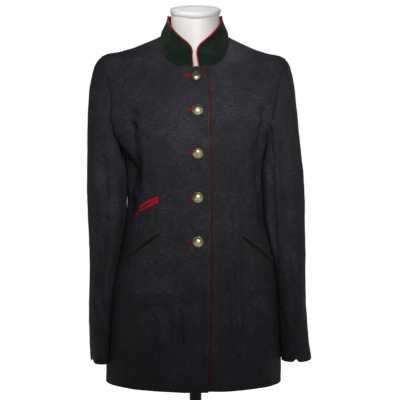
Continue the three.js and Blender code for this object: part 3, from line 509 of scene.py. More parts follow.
def hermite(start, end, leave, arrive, f):
    """A smooth curve between two values with a slope at each."""
    rest = 1 - f
    begun = start * (1 + 2 * f) * rest**2 + leave * f * rest**2
    return begun + end * (3 - 2 * f) * f**2 - arrive * rest * f**2


def column(rows, name, place):
    """A smooth curve through one named column of a table, at places in the table."""
    values = np.array([getattr(row, name) for row in rows], float)
    place = np.asarray(place, float)
    last = len(values) - 1
    k = np.clip(np.floor(place), 0, last - 1).astype(int)
    f = place - k
    at = lambda i: values[np.clip(i, 0, last)]
    leave = (at(k + 1) - at(k - 1)) / np.where(k > 0, 2, 1)
    arrive = (at(k + 2) - at(k)) / np.where(k < last - 1, 2, 1)
    return hermite(at(k), at(k + 1), leave, arrive, f)


def stepped(rows, key, name, at):
    """A value read off a table of straight steps, by its key column."""
    keys = [getattr(row, key) for row in rows]
    return np.interp(at, keys, [getattr(row, name) for row in rows])


def fold_lift(folds, turn, row):
    """How far the large folds of a table lift the cloth at a turn and a row."""
    lift = 0
    for fold in folds:
        share = (row - fold.from_row) / (fold.to_row - fold.from_row)
        off = turn - lerp(fold.from_turn, fold.to_turn, share)
        off = (off + 180) % 360 - 180
        fade = smooth(np.minimum(share, 1 - share), 0, 0.35)
        lift = lift + fold.lift * fade * np.exp(-((off / fold.wide) ** 2))
    return lift


def ring_radius(turn, half, fore, aft, square):
    """How far a squared oval lies from its middle at a turn."""
    across, ahead = np.abs(sine(turn)), cosine(turn)
    depth = np.where(ahead >= 0, fore, aft)
    return ((across / half) ** square + (np.abs(ahead) / depth) ** square) ** (-1 / square)


def ring_point(ring, turn):
    """A point of a ring at a turn."""
    radius = ring_radius(turn, ring.half, ring.fore, ring.aft, ring.square)
    ahead = cosine(turn)
    centre = np.where(ahead >= 0, ring.front, ring.back)
    height = lerp(centre, ring.side, (1 - np.abs(ahead)) ** ring.rise)
    return np.stack([radius * sine(turn) + ring.shift, -radius * ahead, height], -1)


def body(name, row):
    return column(BODY_ROWS, name, row)


def bare_point(turn, row, reach=np.inf):
    """A point of the body's outer face without its folds."""
    turn, row = paired(turn, row)
    half = np.minimum(body("half", row), reach)
    radius = ring_radius(turn, half, body("fore", row), body("aft", row), body("square", row))
    across, ahead = sine(turn), cosine(turn)
    centre = np.where(ahead >= 0, body("front", row), body("back", row))
    late = body("late", row)
    rise = (1 - late) * np.abs(across) ** body("rise", row)
    rise = rise + late * (1 - np.abs(ahead)) ** LATE_RISE
    x = radius * across
    height = lerp(centre, body("side", row), rise) - body("tip", row) * x
    return np.stack([x + body("shift", row), -radius * ahead, height], -1)


def unit(vectors):
    return vectors / np.maximum(np.linalg.norm(vectors, axis=-1, keepdims=True), 1e-9)


def outward(surface, turn, row):
    """The way out of a surface, across its turns and its rows."""
    step = 0.02
    along_turn = surface(turn + step * 20, row) - surface(turn - step * 20, row)
    low, high = np.maximum(row - step, 0), np.minimum(row + step, NECK_ROW)
    return unit(np.cross(along_turn, surface(turn, high) - surface(turn, low)))


def seen(points, behind=False):
    """Where points are seen across and up from straight before or behind, at the axis's scale."""
    near = points[..., 1] if behind else -points[..., 1]
    scale = VIEW_DISTANCE / (VIEW_DISTANCE - near)
    return points[..., 0] * scale, VIEW_HEIGHT + (points[..., 2] - VIEW_HEIGHT) * scale


def under_view(across, up):
    """Turn and row of the body's cloth that is seen at a place from straight before."""
    turn, row = np.asarray(across, float) / 2.6, row_at(up)
    for _ in range(80):
        x, z = seen(bare_point(turn, row))
        ahead = seen(bare_point(turn + 0.5, row))[0]
        turn = np.clip(turn + 0.6 * (across - x) / np.maximum(2 * (ahead - x), 0.9), -88, 88)
        row = np.clip(row + (up - z) / 80, 0, NECK_ROW)
    return turn, row


def crease_lift(creases, across, up):
    """How far creases lift what is seen at a place: they wander a little and fade at their ends."""
    lift = np.zeros(np.shape(across))
    for number, crease in enumerate(creases):
        run = np.array([crease.to_x - crease.from_x, crease.to_z - crease.from_z], float)
        length = np.hypot(*run)
        run /= length
        ahead_x, ahead_z = across - crease.from_x, up - crease.from_z
        share = (ahead_x * run[0] + ahead_z * run[1]) / length
        off = ahead_x * -run[1] + ahead_z * run[0]
        wander = 1.2 * np.sin(share * 9 + number) + 0.7 * np.sin(share * 21 + 2 * number)
        off = off * np.sign(run[1] if abs(run[1]) > abs(run[0]) else -run[0])
        off = off - crease.bow * 4 * share * (1 - share) - wander
        wide = crease.wide * np.where(off > 0, 1 - 0.55 * crease.lean, 1 + 0.55 * crease.lean)
        uneven = 1 + 0.3 * np.sin(share * 13 + 3 * number)
        fade = smooth(share, 0, 0.3) * smooth(1 - share, 0, 0.3)
        lift += crease.lift * fade * uneven * np.exp(-((off / wide) ** 2))
    return lift


def seen_creases(before, behind, points, normals, low, high):
    """The creases that are seen from before and from behind, each fading out towards the sides."""
    lift = crease_lift(before, *seen(points)) * smooth(-normals[..., 1], low, high)
    return lift + crease_lift(behind, *seen(points, True)) * smooth(normals[..., 1], low, high)


def value_noise(across, up, size, seed, around):
    """Smooth seeded noise between -1 and 1, repeating after so many cells across."""
    cells = np.random.default_rng(seed).uniform(-1, 1, NOISE_CELLS)
    a, b = np.asarray(across) / size, np.asarray(up) / size
    i, j = np.floor(a).astype(int), np.floor(b).astype(int)
    f, g = smooth(a - i, 0, 1), smooth(b - j, 0, 1)
    pick = lambda m, n: cells[np.mod(m, around), np.mod(n, NOISE_CELLS[1])]
    low = lerp(pick(i, j), pick(i + 1, j), f)
    return lerp(low, lerp(pick(i, j + 1), pick(i + 1, j + 1), f), g)


def slack_lift(layers, across, up, reseed=0):
    """How far layers of noise lift the cloth."""
    lift = 0
    for layer in layers:
        lift = lift + layer.lift * value_noise(across, up, layer.size, layer.seed + reseed, layer.around)
    return lift


def seam_dip(turn, row):
    """How far the cloth sinks along the panel, armhole, shoulder and centre-back seams."""
    side = np.abs((turn + 180) % 360 - 180)
    front, back = panel_sides(row)
    off = np.minimum(np.minimum(np.abs(side - front), np.abs(side - back)), 180 - side) * MM_A_DEGREE
    return -SEAM_DIP * np.exp(-((off / SEAM_WIDE) ** 2))


def body_lift(turn, row, bare, normal):
    """How far folds, creases and slack lift the cloth of the body."""
    settings = bpy.context.scene.blazer_cloth
    lift = fold_lift(BODY_FOLDS, turn, row)
    creases = seen_creases(BODY_FRONT_CREASES, BODY_BACK_CREASES, bare, normal, 0.02, 0.3)
    slack = slack_lift(BODY_SLACK, turn, bare[..., 2] / MM_A_DEGREE)
    calm = smooth(NECK_ROW - row, 0, 0.7)
    lift = lift + seam_dip(turn, row)
    return lift + creases * settings.crease_depth * calm + slack * settings.slack * calm


def body_point(turn, row, out=0):
    turn, row = paired(turn, row)
    bare = bare_point(turn, row)
    normal = outward(bare_point, turn, row)
    lift = body_lift(turn, row, bare, normal) + out
    return bare + normal * lift[..., None]


def body_normal(turn, row):
    turn, row = paired(turn, row)
    return outward(body_point, turn, row)


def row_at(height):
    """The row that has a height at the centre front."""
    rows = np.linspace(0, NECK_ROW, 1401)
    return np.interp(height, body("front", rows), rows)


def turn_at(x, row):
    """The turn of a row of the front that is so far from the middle."""
    return np.degrees(np.arctan2(x - body("shift", row), body("fore", row)))


def armhole_turn(share):
    share = np.clip(share, 0, 1)
    return 90 - ARMHOLE_BITE * (4 * share * (1 - share)) ** ARMHOLE_ROUND


def armhole_row(share):
    return lerp(UNDERARM_ROW, TIP_ROW, share)


PANEL_ROW = armhole_row(PANEL_SHARE)
PANEL_TURN = armhole_turn(PANEL_SHARE)


def seam_turn(row):
    return lerp(body("panel", row), PANEL_TURN, smooth(row, UNDERARM_ROW - 1, PANEL_ROW))


def gap_turn(turn, row):
    """The turn that half the gap of a seam takes up."""
    wide = np.linalg.norm(bare_point(turn + 0.5, row) - bare_point(turn - 0.5, row), axis=-1)
    return SEAM_GAP / 2 / wide


def eased_shares(low, high, count):
    """Shares of the armhole's height that stand closer together at its two ends."""
    turn = lambda share: math.acos(1 - 2 * share) / math.pi
    return (1 - np.cos(np.pi * np.linspace(turn(low), turn(high), count))) / 2


def panel_sides(row):
    """Turns of a front's and a back's outer side: its seam, then the armhole, then the shoulder seam."""
    share = (row - UNDERARM_ROW) / (TIP_ROW - UNDERARM_ROW)
    armhole = armhole_turn(share)
    front = np.where(row <= PANEL_ROW, seam_turn(row), np.where(row < TIP_ROW, armhole, 90))
    return front, np.where((share > 0) & (share < 1), 180 - armhole, 90)


def crowded(share):
    """Shares across a panel that stand closer together towards its side."""
    return 1 - (1 - share) ** 1.3


def lap_lift(x):
    return LAP_LIFT * smooth(x, LAP_FROM, LAP_FULL)


def right_front_point(turn, row, out=0):
    lift = lap_lift(bare_point(turn, row)[..., 0])
    return body_point(turn, row, lift + out)


def grid_normals(grid, axis_x=0.0):
    """Unit normals of a grid of points, away from an upright axis."""
    normals = unit(np.cross(np.gradient(grid, axis=1), np.gradient(grid, axis=0)))
    away = grid[..., :2] - np.array([axis_x, 0])
    return normals if (normals[..., :2] * away).sum() > 0 else -normals


def run_along(path):
    """The length run along a line of points, at each of them."""
    return np.concatenate([[0], np.linalg.norm(np.diff(path, axis=0), axis=-1).cumsum()])


def cloth_uv(grid):
    """Lengths in metres across and up the cloth, so that the weave keeps its scale."""
    middle = grid.shape[1] // 2
    across = np.linalg.norm(np.diff(grid, axis=1), axis=-1).cumsum(1)
    across = np.concatenate([np.zeros((grid.shape[0], 1)), across], 1)
    across -= across[:, middle : middle + 1]
    up = run_along(grid[:, middle])[:, None] + np.zeros_like(across)
    return np.stack([across, up], -1).reshape(-1, 2) * MM


def grid_faces(rows, columns):
    """The quads of a grid of points, and the points round its rim."""
    at = np.arange(rows * columns).reshape(rows, columns)
    rim = np.concatenate([at[0, :-1], at[:-1, -1], at[-1, :0:-1], at[:0:-1, 0]])
    return np.stack([at[:-1, :-1], at[:-1, 1:], at[1:, 1:], at[1:, :-1]], -1).reshape(-1, 4), rim


def band(low, high):
    """Quads between two closed loops of points."""
    return np.stack([low, high, np.roll(high, -1), np.roll(low, -1)], -1)


def rounded_shell(outer, thick, axis_x=0.0):
    """Points, faces and UVs of a closed sheet on a grid, with softly rounded rims."""
    outer = outer.copy()
    rows, columns = outer.shape[:2]
    normals = grid_normals(outer, axis_x)
    inner = outer - normals * thick
    away = np.zeros_like(outer)
    away[0] += unit(outer[0] - outer[1])
    away[-1] += unit(outer[-1] - outer[-2])
    away[:, 0] += unit(outer[:, 0] - outer[:, 1])
    away[:, -1] += unit(outer[:, -1] - outer[:, -2])
    away = unit(away)
    uv = cloth_uv(outer)
    top, rim = grid_faces(rows, columns)
    flat_outer, flat_inner = outer.reshape(-1, 3), inner.reshape(-1, 3)
    edge_out, edge_in, rim_away = flat_outer[rim], flat_inner[rim], away.reshape(-1, 3)[rim]
    up = unit(edge_out - edge_in)
    radius = RIM_RADIUS
    rings = []
    for edge, face, angles in ((edge_out, up, (45, 90)), (edge_in, -up, (90, 45))):
        centre = edge - rim_away * radius - face * radius
        for angle in np.radians(angles):
            rings.append(centre + radius * (face * math.cos(angle) + rim_away * math.sin(angle)))
    flat_outer[rim] = edge_out - rim_away * radius
    flat_inner[rim] = edge_in - rim_away * radius
    points = np.concatenate([flat_outer, flat_inner, *rings])
    uvs = np.concatenate([uv, uv] + [uv[rim]] * len(rings))
    total = rows * columns
    loops = [2 * total + k * len(rim) + np.arange(len(rim)) for k in range(len(rings))]
    loops = [rim] + loops + [rim + total]
    sides = [band(low, high) for low, high in zip(loops[:-1], loops[1:])]
    return points, np.concatenate([top, top[:, ::-1] + total, *sides]), uvs


def around(at):
    """Quads between closed rings of points, each ring and the next."""
    nxt = np.roll(at, -1, 1)
    return np.stack([at[:-1], nxt[:-1], nxt[1:], at[1:]], -1).reshape(-1, 4).tolist()


def strip_shell(outer, inner):
    """Points, faces and UVs of a closed pad between two grids."""
    uv = cloth_uv(outer)
    points = np.concatenate([outer.reshape(-1, 3), inner.reshape(-1, 3)])
    top, rim = grid_faces(*outer.shape[:2])
    total = len(points) // 2
    faces = np.concatenate([top, top[:, ::-1] + total, band(rim, rim + total)])
    return points, faces, np.concatenate([uv, uv])


def tube(path, radius, sides=10, ring=False):
    """Points, faces and UVs of a round cord along a line of points."""
    path = np.asarray(path, float)
    count = len(path)
    if ring:
        along = unit(np.roll(path, -1, 0) - np.roll(path, 1, 0))
    else:
        along = unit(np.gradient(path, axis=0))
    side = unit(np.cross([0.3, 1, 0.2], along[0]))
    frames = []
    for tangent in along:
        side = unit(side - tangent * (side @ tangent))
        frames.append((side, np.cross(tangent, side)))
    radius = np.broadcast_to(radius, count)
    angles = 2 * np.pi * np.arange(sides) / sides
    lines = []
    for centre, (u, v), r in zip(path, frames, radius):
        lines.append(centre + r * (np.cos(angles)[:, None] * u + np.sin(angles)[:, None] * v))
    points = np.array(lines)
    reach = run_along(path) * MM
    uv = np.stack(np.broadcast_arrays(angles[None] / (2 * np.pi), reach[:, None]), -1)
    at = np.arange(count * sides).reshape(count, sides)
    faces = around(np.concatenate([at, at[:1]]) if ring else at)
    if not ring:
        faces += [at[0, ::-1].tolist(), at[-1].tolist()]
    return points.reshape(-1, 3), faces, uv.reshape(-1, 2)


def capped(rings, bottom, top):
    """Points, faces and UVs of rings one above another, closed to a point at both ends."""
    points = np.concatenate([rings.reshape(-1, 3), [bottom, top]])
    at = np.arange(len(points) - 2).reshape(rings.shape[:2])
    faces = around(at)
    first, last = at[0].tolist(), at[-1].tolist()
    under, over = len(points) - 2, len(points) - 1
    faces += [[under, b, a] for a, b in zip(first, first[1:] + first[:1])]
    faces += [[over, a, b] for a, b in zip(last, last[1:] + last[:1])]
    return points, faces, points[:, :2] * MM


def lathe(profile, segments):
    """Points, faces and UVs of a profile turned round the Z axis."""
    angles = 2 * np.pi * np.arange(segments) / segments
    circle = np.stack([np.cos(angles), np.sin(angles), np.zeros(segments)], -1)
    rings = [step.radius * circle + np.array([0, 0, step.height]) for step in profile[1:-1]]
    return capped(np.array(rings), (0, 0, profile[0].height), (0, 0, profile[-1].height))


def joined(*parts):
    """Several lots of points, faces and UVs as one."""
    points, faces, uvs, start = [], [], [], 0
    for part_points, part_faces, part_uv in parts:
        points.append(part_points)
        faces += [[start + int(k) for k in face] for face in part_faces]
        uvs.append(part_uv)
        start += len(part_points)
    return np.concatenate(points), faces, np.concatenate(uvs)


def new_object(name, data):
    """A new object at the origin of the scene."""
    made = bpy.data.objects.new(name, data)
    bpy.context.scene.collection.objects.link(made)
    return made


def add_piece(name, parts, material, nodes=()):
    """Makes a piece of the object from points in millimetres, in the place of its nodes."""
    points, faces, uv = parts
    faces = faces.tolist() if hasattr(faces, "tolist") else faces
    triangles = np.array([(f[0], f[k], f[k + 1]) for f in faces for k in range(1, len(f) - 1)])
    a, b, c = (points[triangles[:, k]] for k in range(3))
    if (a * np.cross(b, c)).sum() < 0:
        faces = [face[::-1] for face in faces]
    mesh = bpy.data.meshes.new(name)
    mesh.from_pydata((points * MM).tolist(), [], faces)
    mesh.polygons.foreach_set("use_smooth", [True] * len(mesh.polygons))
    corner = np.empty(len(mesh.loops), int)
    mesh.loops.foreach_get("vertex_index", corner)
    layer = mesh.uv_layers.new(name="Cloth")
    layer.data.foreach_set("uv", uv[corner].ravel())
    mesh.materials.append(material)
    piece = new_object(name, mesh)
    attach(piece, "root")
    if nodes:
        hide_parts(*nodes)
    return piece


class Look:
    """A material in the making: its ground colour, and its colour and its bumps so far."""

    def __init__(self, name, ground):
        self.material = bpy.data.materials.get(name)
        self.made_before = self.material is not None
        if self.made_before:
            return
        self.material = bpy.data.materials.new(name)
        self.material.use_nodes = True
        self.material.node_tree.nodes.clear()
        self.ground = tuple(ground) + (1.0,)
        self.colour = self.ground
        self.normal = None

    def put(self, kind, inputs=None, **settings):
        """Adds a node, sets it up and links or fills its inputs."""
        node = self.material.node_tree.nodes.new(kind)
        for name, value in settings.items():
            setattr(node, name, value)
        for name, value in (inputs or {}).items():
            if isinstance(value, bpy.types.NodeSocket):
                self.material.node_tree.links.new(value, node.inputs[name])
            else:
                node.inputs[name].default_value = value
        return node

    def place(self):
        return self.put("ShaderNodeTexCoord").outputs["Object"]

    def along_cloth(self):
        return self.put("ShaderNodeUVMap", uv_map="Cloth").outputs["UV"]

    def maths(self, operation, a, b=0.0):
        return self.put("ShaderNodeMath", {0: a, 1: b}, operation=operation).outputs[0]

    def remap(self, value, low, high, to_low=0.0, to_high=1.0):
        inputs = {"Value": value, "From Min": low, "From Max": high, "To Min": to_low, "To Max": to_high}
        return self.put("ShaderNodeMapRange", inputs).outputs["Result"]

    def noise(self, vector, scale, detail=2.0, roughness=0.5):
        inputs = {"Vector": vector, "Scale": scale, "Detail": detail, "Roughness": roughness}
        return self.put("ShaderNodeTexNoise", inputs).outputs["Fac"]

    def stretched(self, vector, x, y, z=1.0):
        scaled = self.put("ShaderNodeVectorMath", {0: vector, 1: (x, y, z)}, operation="MULTIPLY")
        return scaled.outputs["Vector"]

    def shade(self, factor):
        return tuple(channel * factor for channel in self.ground[:3]) + (1.0,)

    def blend(self, share, other):
        inputs = {0: share, 6: self.colour, 7: other}
        self.colour = self.put("ShaderNodeMix", inputs, data_type="RGBA").outputs[2]

    def tint(self, pattern, low, high, factor, most=1.0):
        """Turns the colour to another shade of the ground where a pattern goes from low to high."""
        self.blend(self.remap(pattern, low, high, 0.0, most), self.shade(factor))

    def bump(self, height, distance, strength):
        """Adds a bump, so high in metres, on those made so far."""
        inputs = {"Height": height, "Distance": distance, "Strength": strength}
        if self.normal is not None:
            inputs["Normal"] = self.normal
        self.normal = self.put("ShaderNodeBump", inputs).outputs["Normal"]

    def finish(self, roughness, **fixed):
        inputs = {"Base Color": self.colour, "Normal": self.normal, "Roughness": roughness}
        inputs.update({name.replace("_", " "): value for name, value in fixed.items()})
        shader = self.put("ShaderNodeBsdfPrincipled", inputs)
        self.put("ShaderNodeOutputMaterial", {"Surface": shader.outputs[0]})
        return self.material


def blazer_cloth():
    """Dark heathered wool and linen in plain weave, with slubs both ways and a soft nap."""
    look = Look("Heathered cloth", bpy.context.scene.blazer_cloth.cloth_colour)
    if look.made_before:
        return look.material
    uv, place = look.along_cloth(), look.place()
    slub_across = look.noise(look.stretched(uv, 80, 640), 1.0, 2.0, 0.6)
    slub_up = look.noise(look.stretched(uv, 560, 70), 1.0, 2.0, 0.6)
    speck = look.noise(look.stretched(uv, 430, 430), 1.0, 3.0, 0.65)
    cloud = look.noise(place, 34.0, 4.0, 0.62)
    patch = look.noise(place, 13.0, 3.0, 0.6)
    for pattern, low, high, factor, most in (
        (slub_across, 0.5, 0.72, 2.6, 1.0),
        (slub_up, 0.54, 0.76, 2.8, 1.0),
        (speck, 0.56, 0.74, 3.2, 0.8),
        (speck, 0.47, 0.3, 0.3, 0.8),
        (slub_across, 0.44, 0.28, 0.35, 0.7),
        (cloud, 0.38, 0.62, 0.66, 0.5),
        (patch, 0.4, 0.62, 0.55, 0.42),
        (patch, 0.44, 0.3, 2.2, 0.25),
    ):
        look.tint(pattern, low, high, factor, most)
    threads = look.put("ShaderNodeSeparateXYZ", {0: look.stretched(uv, 3600, 3600)}).outputs
    weave = look.maths("MULTIPLY", look.maths("SINE", threads[0]), look.maths("SINE", threads[1]))
    look.bump(cloud, 0.0016, 0.35)
    look.bump(slub_across, 0.0004, 0.6)
    look.bump(slub_up, 0.0004, 0.6)
    look.bump(weave, 0.00012, 0.8)
    rough = look.remap(speck, 0.3, 0.7, 0.78, 0.95)
    return look.finish(
        rough, Specular_IOR_Level=0.1,
        Sheen_Weight=0.012, Sheen_Roughness=0.5, Sheen_Tint=(0.8, 0.8, 0.86, 1.0),
    )


def collar_felt():
    """Dense green felt with matted fibres."""
    look = Look("Green felt", bpy.context.scene.blazer_cloth.felt_colour)
    if look.made_before:
        return look.material
    place = look.place()
    fibre = look.noise(look.stretched(place, 900, 900, 500), 1.0, 4.0, 0.7)
    matted = look.noise(place, 48.0, 4.0, 0.62)
    look.colour = look.shade(0.8)
    look.tint(fibre, 0.4, 0.7, 1.6)
    look.tint(matted, 0.44, 0.62, 0.4, 0.75)
    look.tint(matted, 0.44, 0.32, 2.0, 0.6)
    look.bump(matted, 0.0006, 0.5)
    look.bump(fibre, 0.0002, 0.8)
    return look.finish(
        0.95, Specular_IOR_Level=0.08,
        Sheen_Weight=0.06, Sheen_Roughness=0.6, Sheen_Tint=(0.7, 0.8, 0.74, 1.0),
    )


def piping_cloth(name, factor):
    """Red cord covering: fine slanting ribs over a slightly worn colour."""
    red = bpy.context.scene.blazer_trim.piping_colour
    look = Look(name, tuple(channel * factor for channel in red))
    if look.made_before:
        return look.material
    ribs_round, ribs_along = 12.566, 6500.0
    split = look.put("ShaderNodeSeparateXYZ", {0: look.along_cloth()}).outputs
    slant_round = look.maths("MULTIPLY", split[0], ribs_round)
    slant_along = look.maths("MULTIPLY", split[1], ribs_along)
    ribs = look.maths("SINE", look.maths("ADD", slant_round, slant_along))
    wear = look.noise(look.place(), 220.0, 3.0, 0.6)
    look.tint(ribs, -1.0, 1.0, 0.6, 0.5)
    look.tint(wear, 0.4, 0.7, 1.35, 0.6)
    look.bump(ribs, 0.0001, 0.7)
    return look.finish(0.7, Sheen_Weight=0.01, Sheen_Roughness=0.5, Specular_IOR_Level=0.06)


def button_brass():
    """Antique brass: warm metal with brown patina in random patches, painted shade that darkens its rim,
    fine scratches.
    """
    look = Look("Antique brass", bpy.context.scene.blazer_trim.brass_colour)
    if look.made_before:
        return look.material
    place = look.place()
    patina = look.noise(place, 300.0, 4.0, 0.65)
    scratch = look.noise(look.stretched(place, 2600, 2600, 500), 1.0, 2.0)
    from_middle = look.put("ShaderNodeVectorMath", {0: look.along_cloth()}, operation="LENGTH")
    look.tint(patina, 0.42, 0.64, 0.35)
    # Painted shade: darkens the brass from 8.4 mm out to the rim of the dome.
    look.tint(from_middle.outputs["Value"], 0.0084, 0.0098, 0.22, 0.85)
    look.bump(patina, 0.0004, 0.5)
    look.bump(scratch, 0.00005, 0.5)
    return look.finish(look.remap(patina, 0.3, 0.7, 0.26, 0.48), Metallic=0.9)


def form_shell():
    """Smooth off-white moulded shell with the faintest unevenness."""
    look = Look("Moulded white shell", bpy.context.scene.blazer_stage.form_colour)
    if look.made_before:
        return look.material
    place = look.place()
    fine = look.noise(place, 900.0, 2.0)
    look.tint(look.noise(place, 16.0, 2.0), 0.35, 0.65, 0.95, 0.5)
    look.bump(fine, 0.00004, 0.5)
    return look.finish(look.remap(fine, 0.3, 0.7, 0.42, 0.55), Specular_IOR_Level=0.4)


def stand_paint():
    """Black powder paint with a fine grain and a trace of dust."""
    look = Look("Black powder paint", (0.012, 0.012, 0.013))
    if look.made_before:
        return look.material
    place = look.place()
    dust = look.noise(place, 30.0, 3.0, 0.6)
    look.blend(look.remap(dust, 0.45, 0.7), (0.022, 0.022, 0.023, 1))
    look.bump(look.noise(place, 1800.0, 2.0), 0.00005, 0.6)
    return look.finish(look.remap(dust, 0.3, 0.7, 0.38, 0.55), Specular_IOR_Level=0.45)


def sewing_thread():
    """Dark sewing thread, a little shinier than the cloth."""
    look = Look("Sewing thread", (0.012, 0.012, 0.014))
    if look.made_before:
        return look.material
    ply = look.noise(look.place(), 3000.0, 1.0)
    look.blend(ply, (0.035, 0.034, 0.038, 1))
    look.bump(ply, 0.00005, 0.5)
    return look.finish(0.55, Specular_IOR_Level=0.35)


def floor_paint():
    """Plain pale floor."""
    look = Look("Pale floor", bpy.context.scene.blazer_stage.floor_colour)
    if look.made_before:
        return look.material
    grain = look.noise(look.place(), 40.0, 2.0)
    look.tint(grain, 0.3, 0.7, 0.985, 0.3)
    look.bump(grain, 0.0002, 0.1)
    return look.finish(0.9, Emission_Color=(1.0, 1.0, 1.0, 1.0), Emission_Strength=1.0)


def sheet_thickness():
    """Thickness of the cloth in millimetres."""
    return bpy.context.scene.blazer_cloth.cloth_thickness / MM


def rows_up(low, armhole):
    """Rows of a front or a back, through its side, its armhole and its shoulder."""
    return np.concatenate([low, armhole[1:], np.linspace(TIP_ROW, NECK_ROW, SHOULDER_ROWS)[1:]])


def front_grid(side):
    """Outer face of a front panel, from its free edge to its side."""
    fine = FRONT_FINENESS
    shares = eased_shares(PANEL_SHARE, 1, fine.armhole)
    rows = rows_up(np.linspace(0, PANEL_ROW, fine.low), armhole_row(shares))
    height = body("front", rows)
    edge = stepped(RIGHT_EDGE, "height", "x", height) if side < 0 else np.full(len(rows), LEFT_EDGE)
    start = turn_at(edge, rows)
    outer = panel_sides(rows)[0]
    stop = side * (outer - gap_turn(outer, rows))
    share = crowded(np.linspace(0, 1, fine.across))[None]
    turn = lerp(start[:, None], stop[:, None], share)
    row = rows[:, None] + np.zeros_like(turn)
    if side < 0:
        return right_front_point(turn, row)
    short = HEM_SHORTER * smooth(HEM_SHORT_TURN - turn, 0, HEM_SHORT_FADE)
    row = row + short / (body("front", 1) - body("front", 0)) * smooth(1 - row, 0, 1)
    return body_point(turn, row)


def side_grid(side):
    """Outer face of a side panel, from its seam with the front to its seam with the back."""
    high = np.linspace(0, 1, SIDE_FINENESS.low)[:, None]
    share = eased_shares(0, PANEL_SHARE, SIDE_FINENESS.across)[::-1][None]
    across = (armhole_turn(share) - PANEL_TURN) / (90 - PANEL_TURN)
    turn = lerp(seam_turn(high * PANEL_ROW), 90, across)
    row = high * armhole_row(share)
    turn[:, 0] += gap_turn(turn[:, 0], row[:, 0])
    turn[:, -1] -= gap_turn(turn[:, -1], row[:, -1])
    return body_point(side * turn, row)


def back_grid(side):
    """Outer face of a back panel, from the centre back seam to its side."""
    fine = BACK_FINENESS
    rows = rows_up(np.linspace(0, UNDERARM_ROW, fine.low), armhole_row(eased_shares(0, 1, fine.armhole)))
    edge = panel_sides(rows)[1]
    start = 180 - gap_turn(np.full(len(rows), 180.0), rows)
    stop = edge + gap_turn(edge, rows)
    turn = lerp(start[:, None], stop[:, None], crowded(np.linspace(0, 1, fine.across))[None])
    return body_point(side * turn, rows[:, None] + np.zeros_like(turn))


def seam_start(edge, normal, into, bend):
    """Where a piece sewn to an edge starts, leaving along the panel at 0 and straight out at 90."""
    c, s = cosine(bend)[:, None], sine(bend)[:, None]
    leave = into * c + normal * s
    return edge + leave * SEAM_GAP, leave


def bezier(a, b, c, d, f):
    g = 1 - f
    return a * g**3 + b * 3 * g * g * f + c * 3 * g * f * f + d * f**3


def body_half_at(height, y):
    """Half width of the bare body at a height and so far before or behind its axis."""
    row = row_at(height)
    depth = np.where(y < 0, body("fore", row), body("aft", row))
    square = body("square", row)
    inside = 1 - np.minimum(np.abs(y) / depth, 1) ** square
    return body("half", row) * inside ** (1 / square)


def sleeve_point(sleeve, turn, place):
    """A point of a sleeve's outer face: 0 on the outer side, 90 in front, 180 next to the body."""
    table = lambda name: column(sleeve.sections, name, place)
    outer, inner = table("outer"), table("inner")
    across, ahead = cosine(turn), sine(turn)
    swell = fold_lift(sleeve.folds, turn, place)
    power = 2 / SLEEVE_SQUARE
    reach = (outer + inner) / 2 + ((outer - inner) / 2 + swell) * np.sign(across) * np.abs(across) ** power
    depth = np.where(ahead > 0, table("fore"), table("aft"))
    y = -(depth + swell) * np.sign(ahead) * np.abs(ahead) ** power
    easing = smooth(place, 0.2, 1) * smooth(place, 4.6, 3)
    y = np.where(ahead > 0, y * (1 - sleeve.ease * easing * smooth(-across, 0, 0.9)), y)
    height = table("height")
    drawn = reach - table("draw") * np.maximum(ahead, 0)
    least = body_half_at(height, y) + SLEEVE_CLEAR + sleeve.side * body("shift", row_at(height))
    x = (drawn + least + np.sqrt((drawn - least) ** 2 + 2)) / 2
    return np.stack(np.broadcast_arrays(sleeve.side * x, y, height), -1)


def cuff_notch(sleeve, x, y):
    """How far the cuff's edge rises in its small notch."""
    near = np.clip(1 - np.abs(x - sleeve.notch) / NOTCH_HALF_WIDE, 0, 1)
    return NOTCH_HIGH * near**0.8 * (y < 0)


def sleeve_grid(sleeve):
    """Outer face of a whole sleeve from the armhole to the cuff, with the turns of its columns."""
    shares = eased_shares(0, 1, SLEEVE_HALF_ROUND)
    share = np.concatenate([shares[::-1], shares[1:-1]])
    behind = np.arange(len(share)) >= SLEEVE_HALF_ROUND
    loop_turn = sleeve.side * np.where(behind, 180 - armhole_turn(share), armhole_turn(share))
    loop_row = armhole_row(share)
    edges = body_point(loop_turn, loop_row)
    lengths = np.linalg.norm(np.roll(edges, -1, 0) - edges, axis=-1)
    done = np.concatenate([[0], lengths.cumsum()[:-1]])
    front = lengths[: SLEEVE_HALF_ROUND - 1].sum()
    back = lengths[SLEEVE_HALF_ROUND - 1 :].sum()
    turns = np.where(behind, 180 + 180 * (done - front) / back, 180 * done / front)
    normal = body_normal(loop_turn, loop_row)
    into = unit(np.cross(np.roll(edges, -1, 0) - np.roll(edges, 1, 0), normal))
    wrong = (into * (edges.mean(0) - edges)).sum(-1) < 0
    into[wrong] *= -1
    bend = 90 - 90 * cosine(turns / 2) ** 2
    start, leaving = seam_start(edges, normal, into, bend)
    end = sleeve_point(sleeve, turns, np.zeros(len(turns)))
    top = ((1 + cosine(turns)) / 2)[:, None]
    leave = start + leaving * lerp(UNDER_LEAVE, sleeve.leave, top)
    drop = np.concatenate(
        [-sleeve.side * sleeve.lean * top, 0 * top, lerp(UNDER_ARRIVE, sleeve.arrive, top)], 1
    )
    head = (np.linspace(0, 1, SLEEVE_HEAD_ROWS)[:-1] ** 1.3)[:, None, None]
    grid = bezier(start[None], leave[None], (end + drop)[None], end[None], head)
    place = np.linspace(0, len(sleeve.sections) - 1, SLEEVE_ROWS)[:, None]
    grid = np.concatenate([grid, sleeve_point(sleeve, turns[None], place)])
    return grid, turns


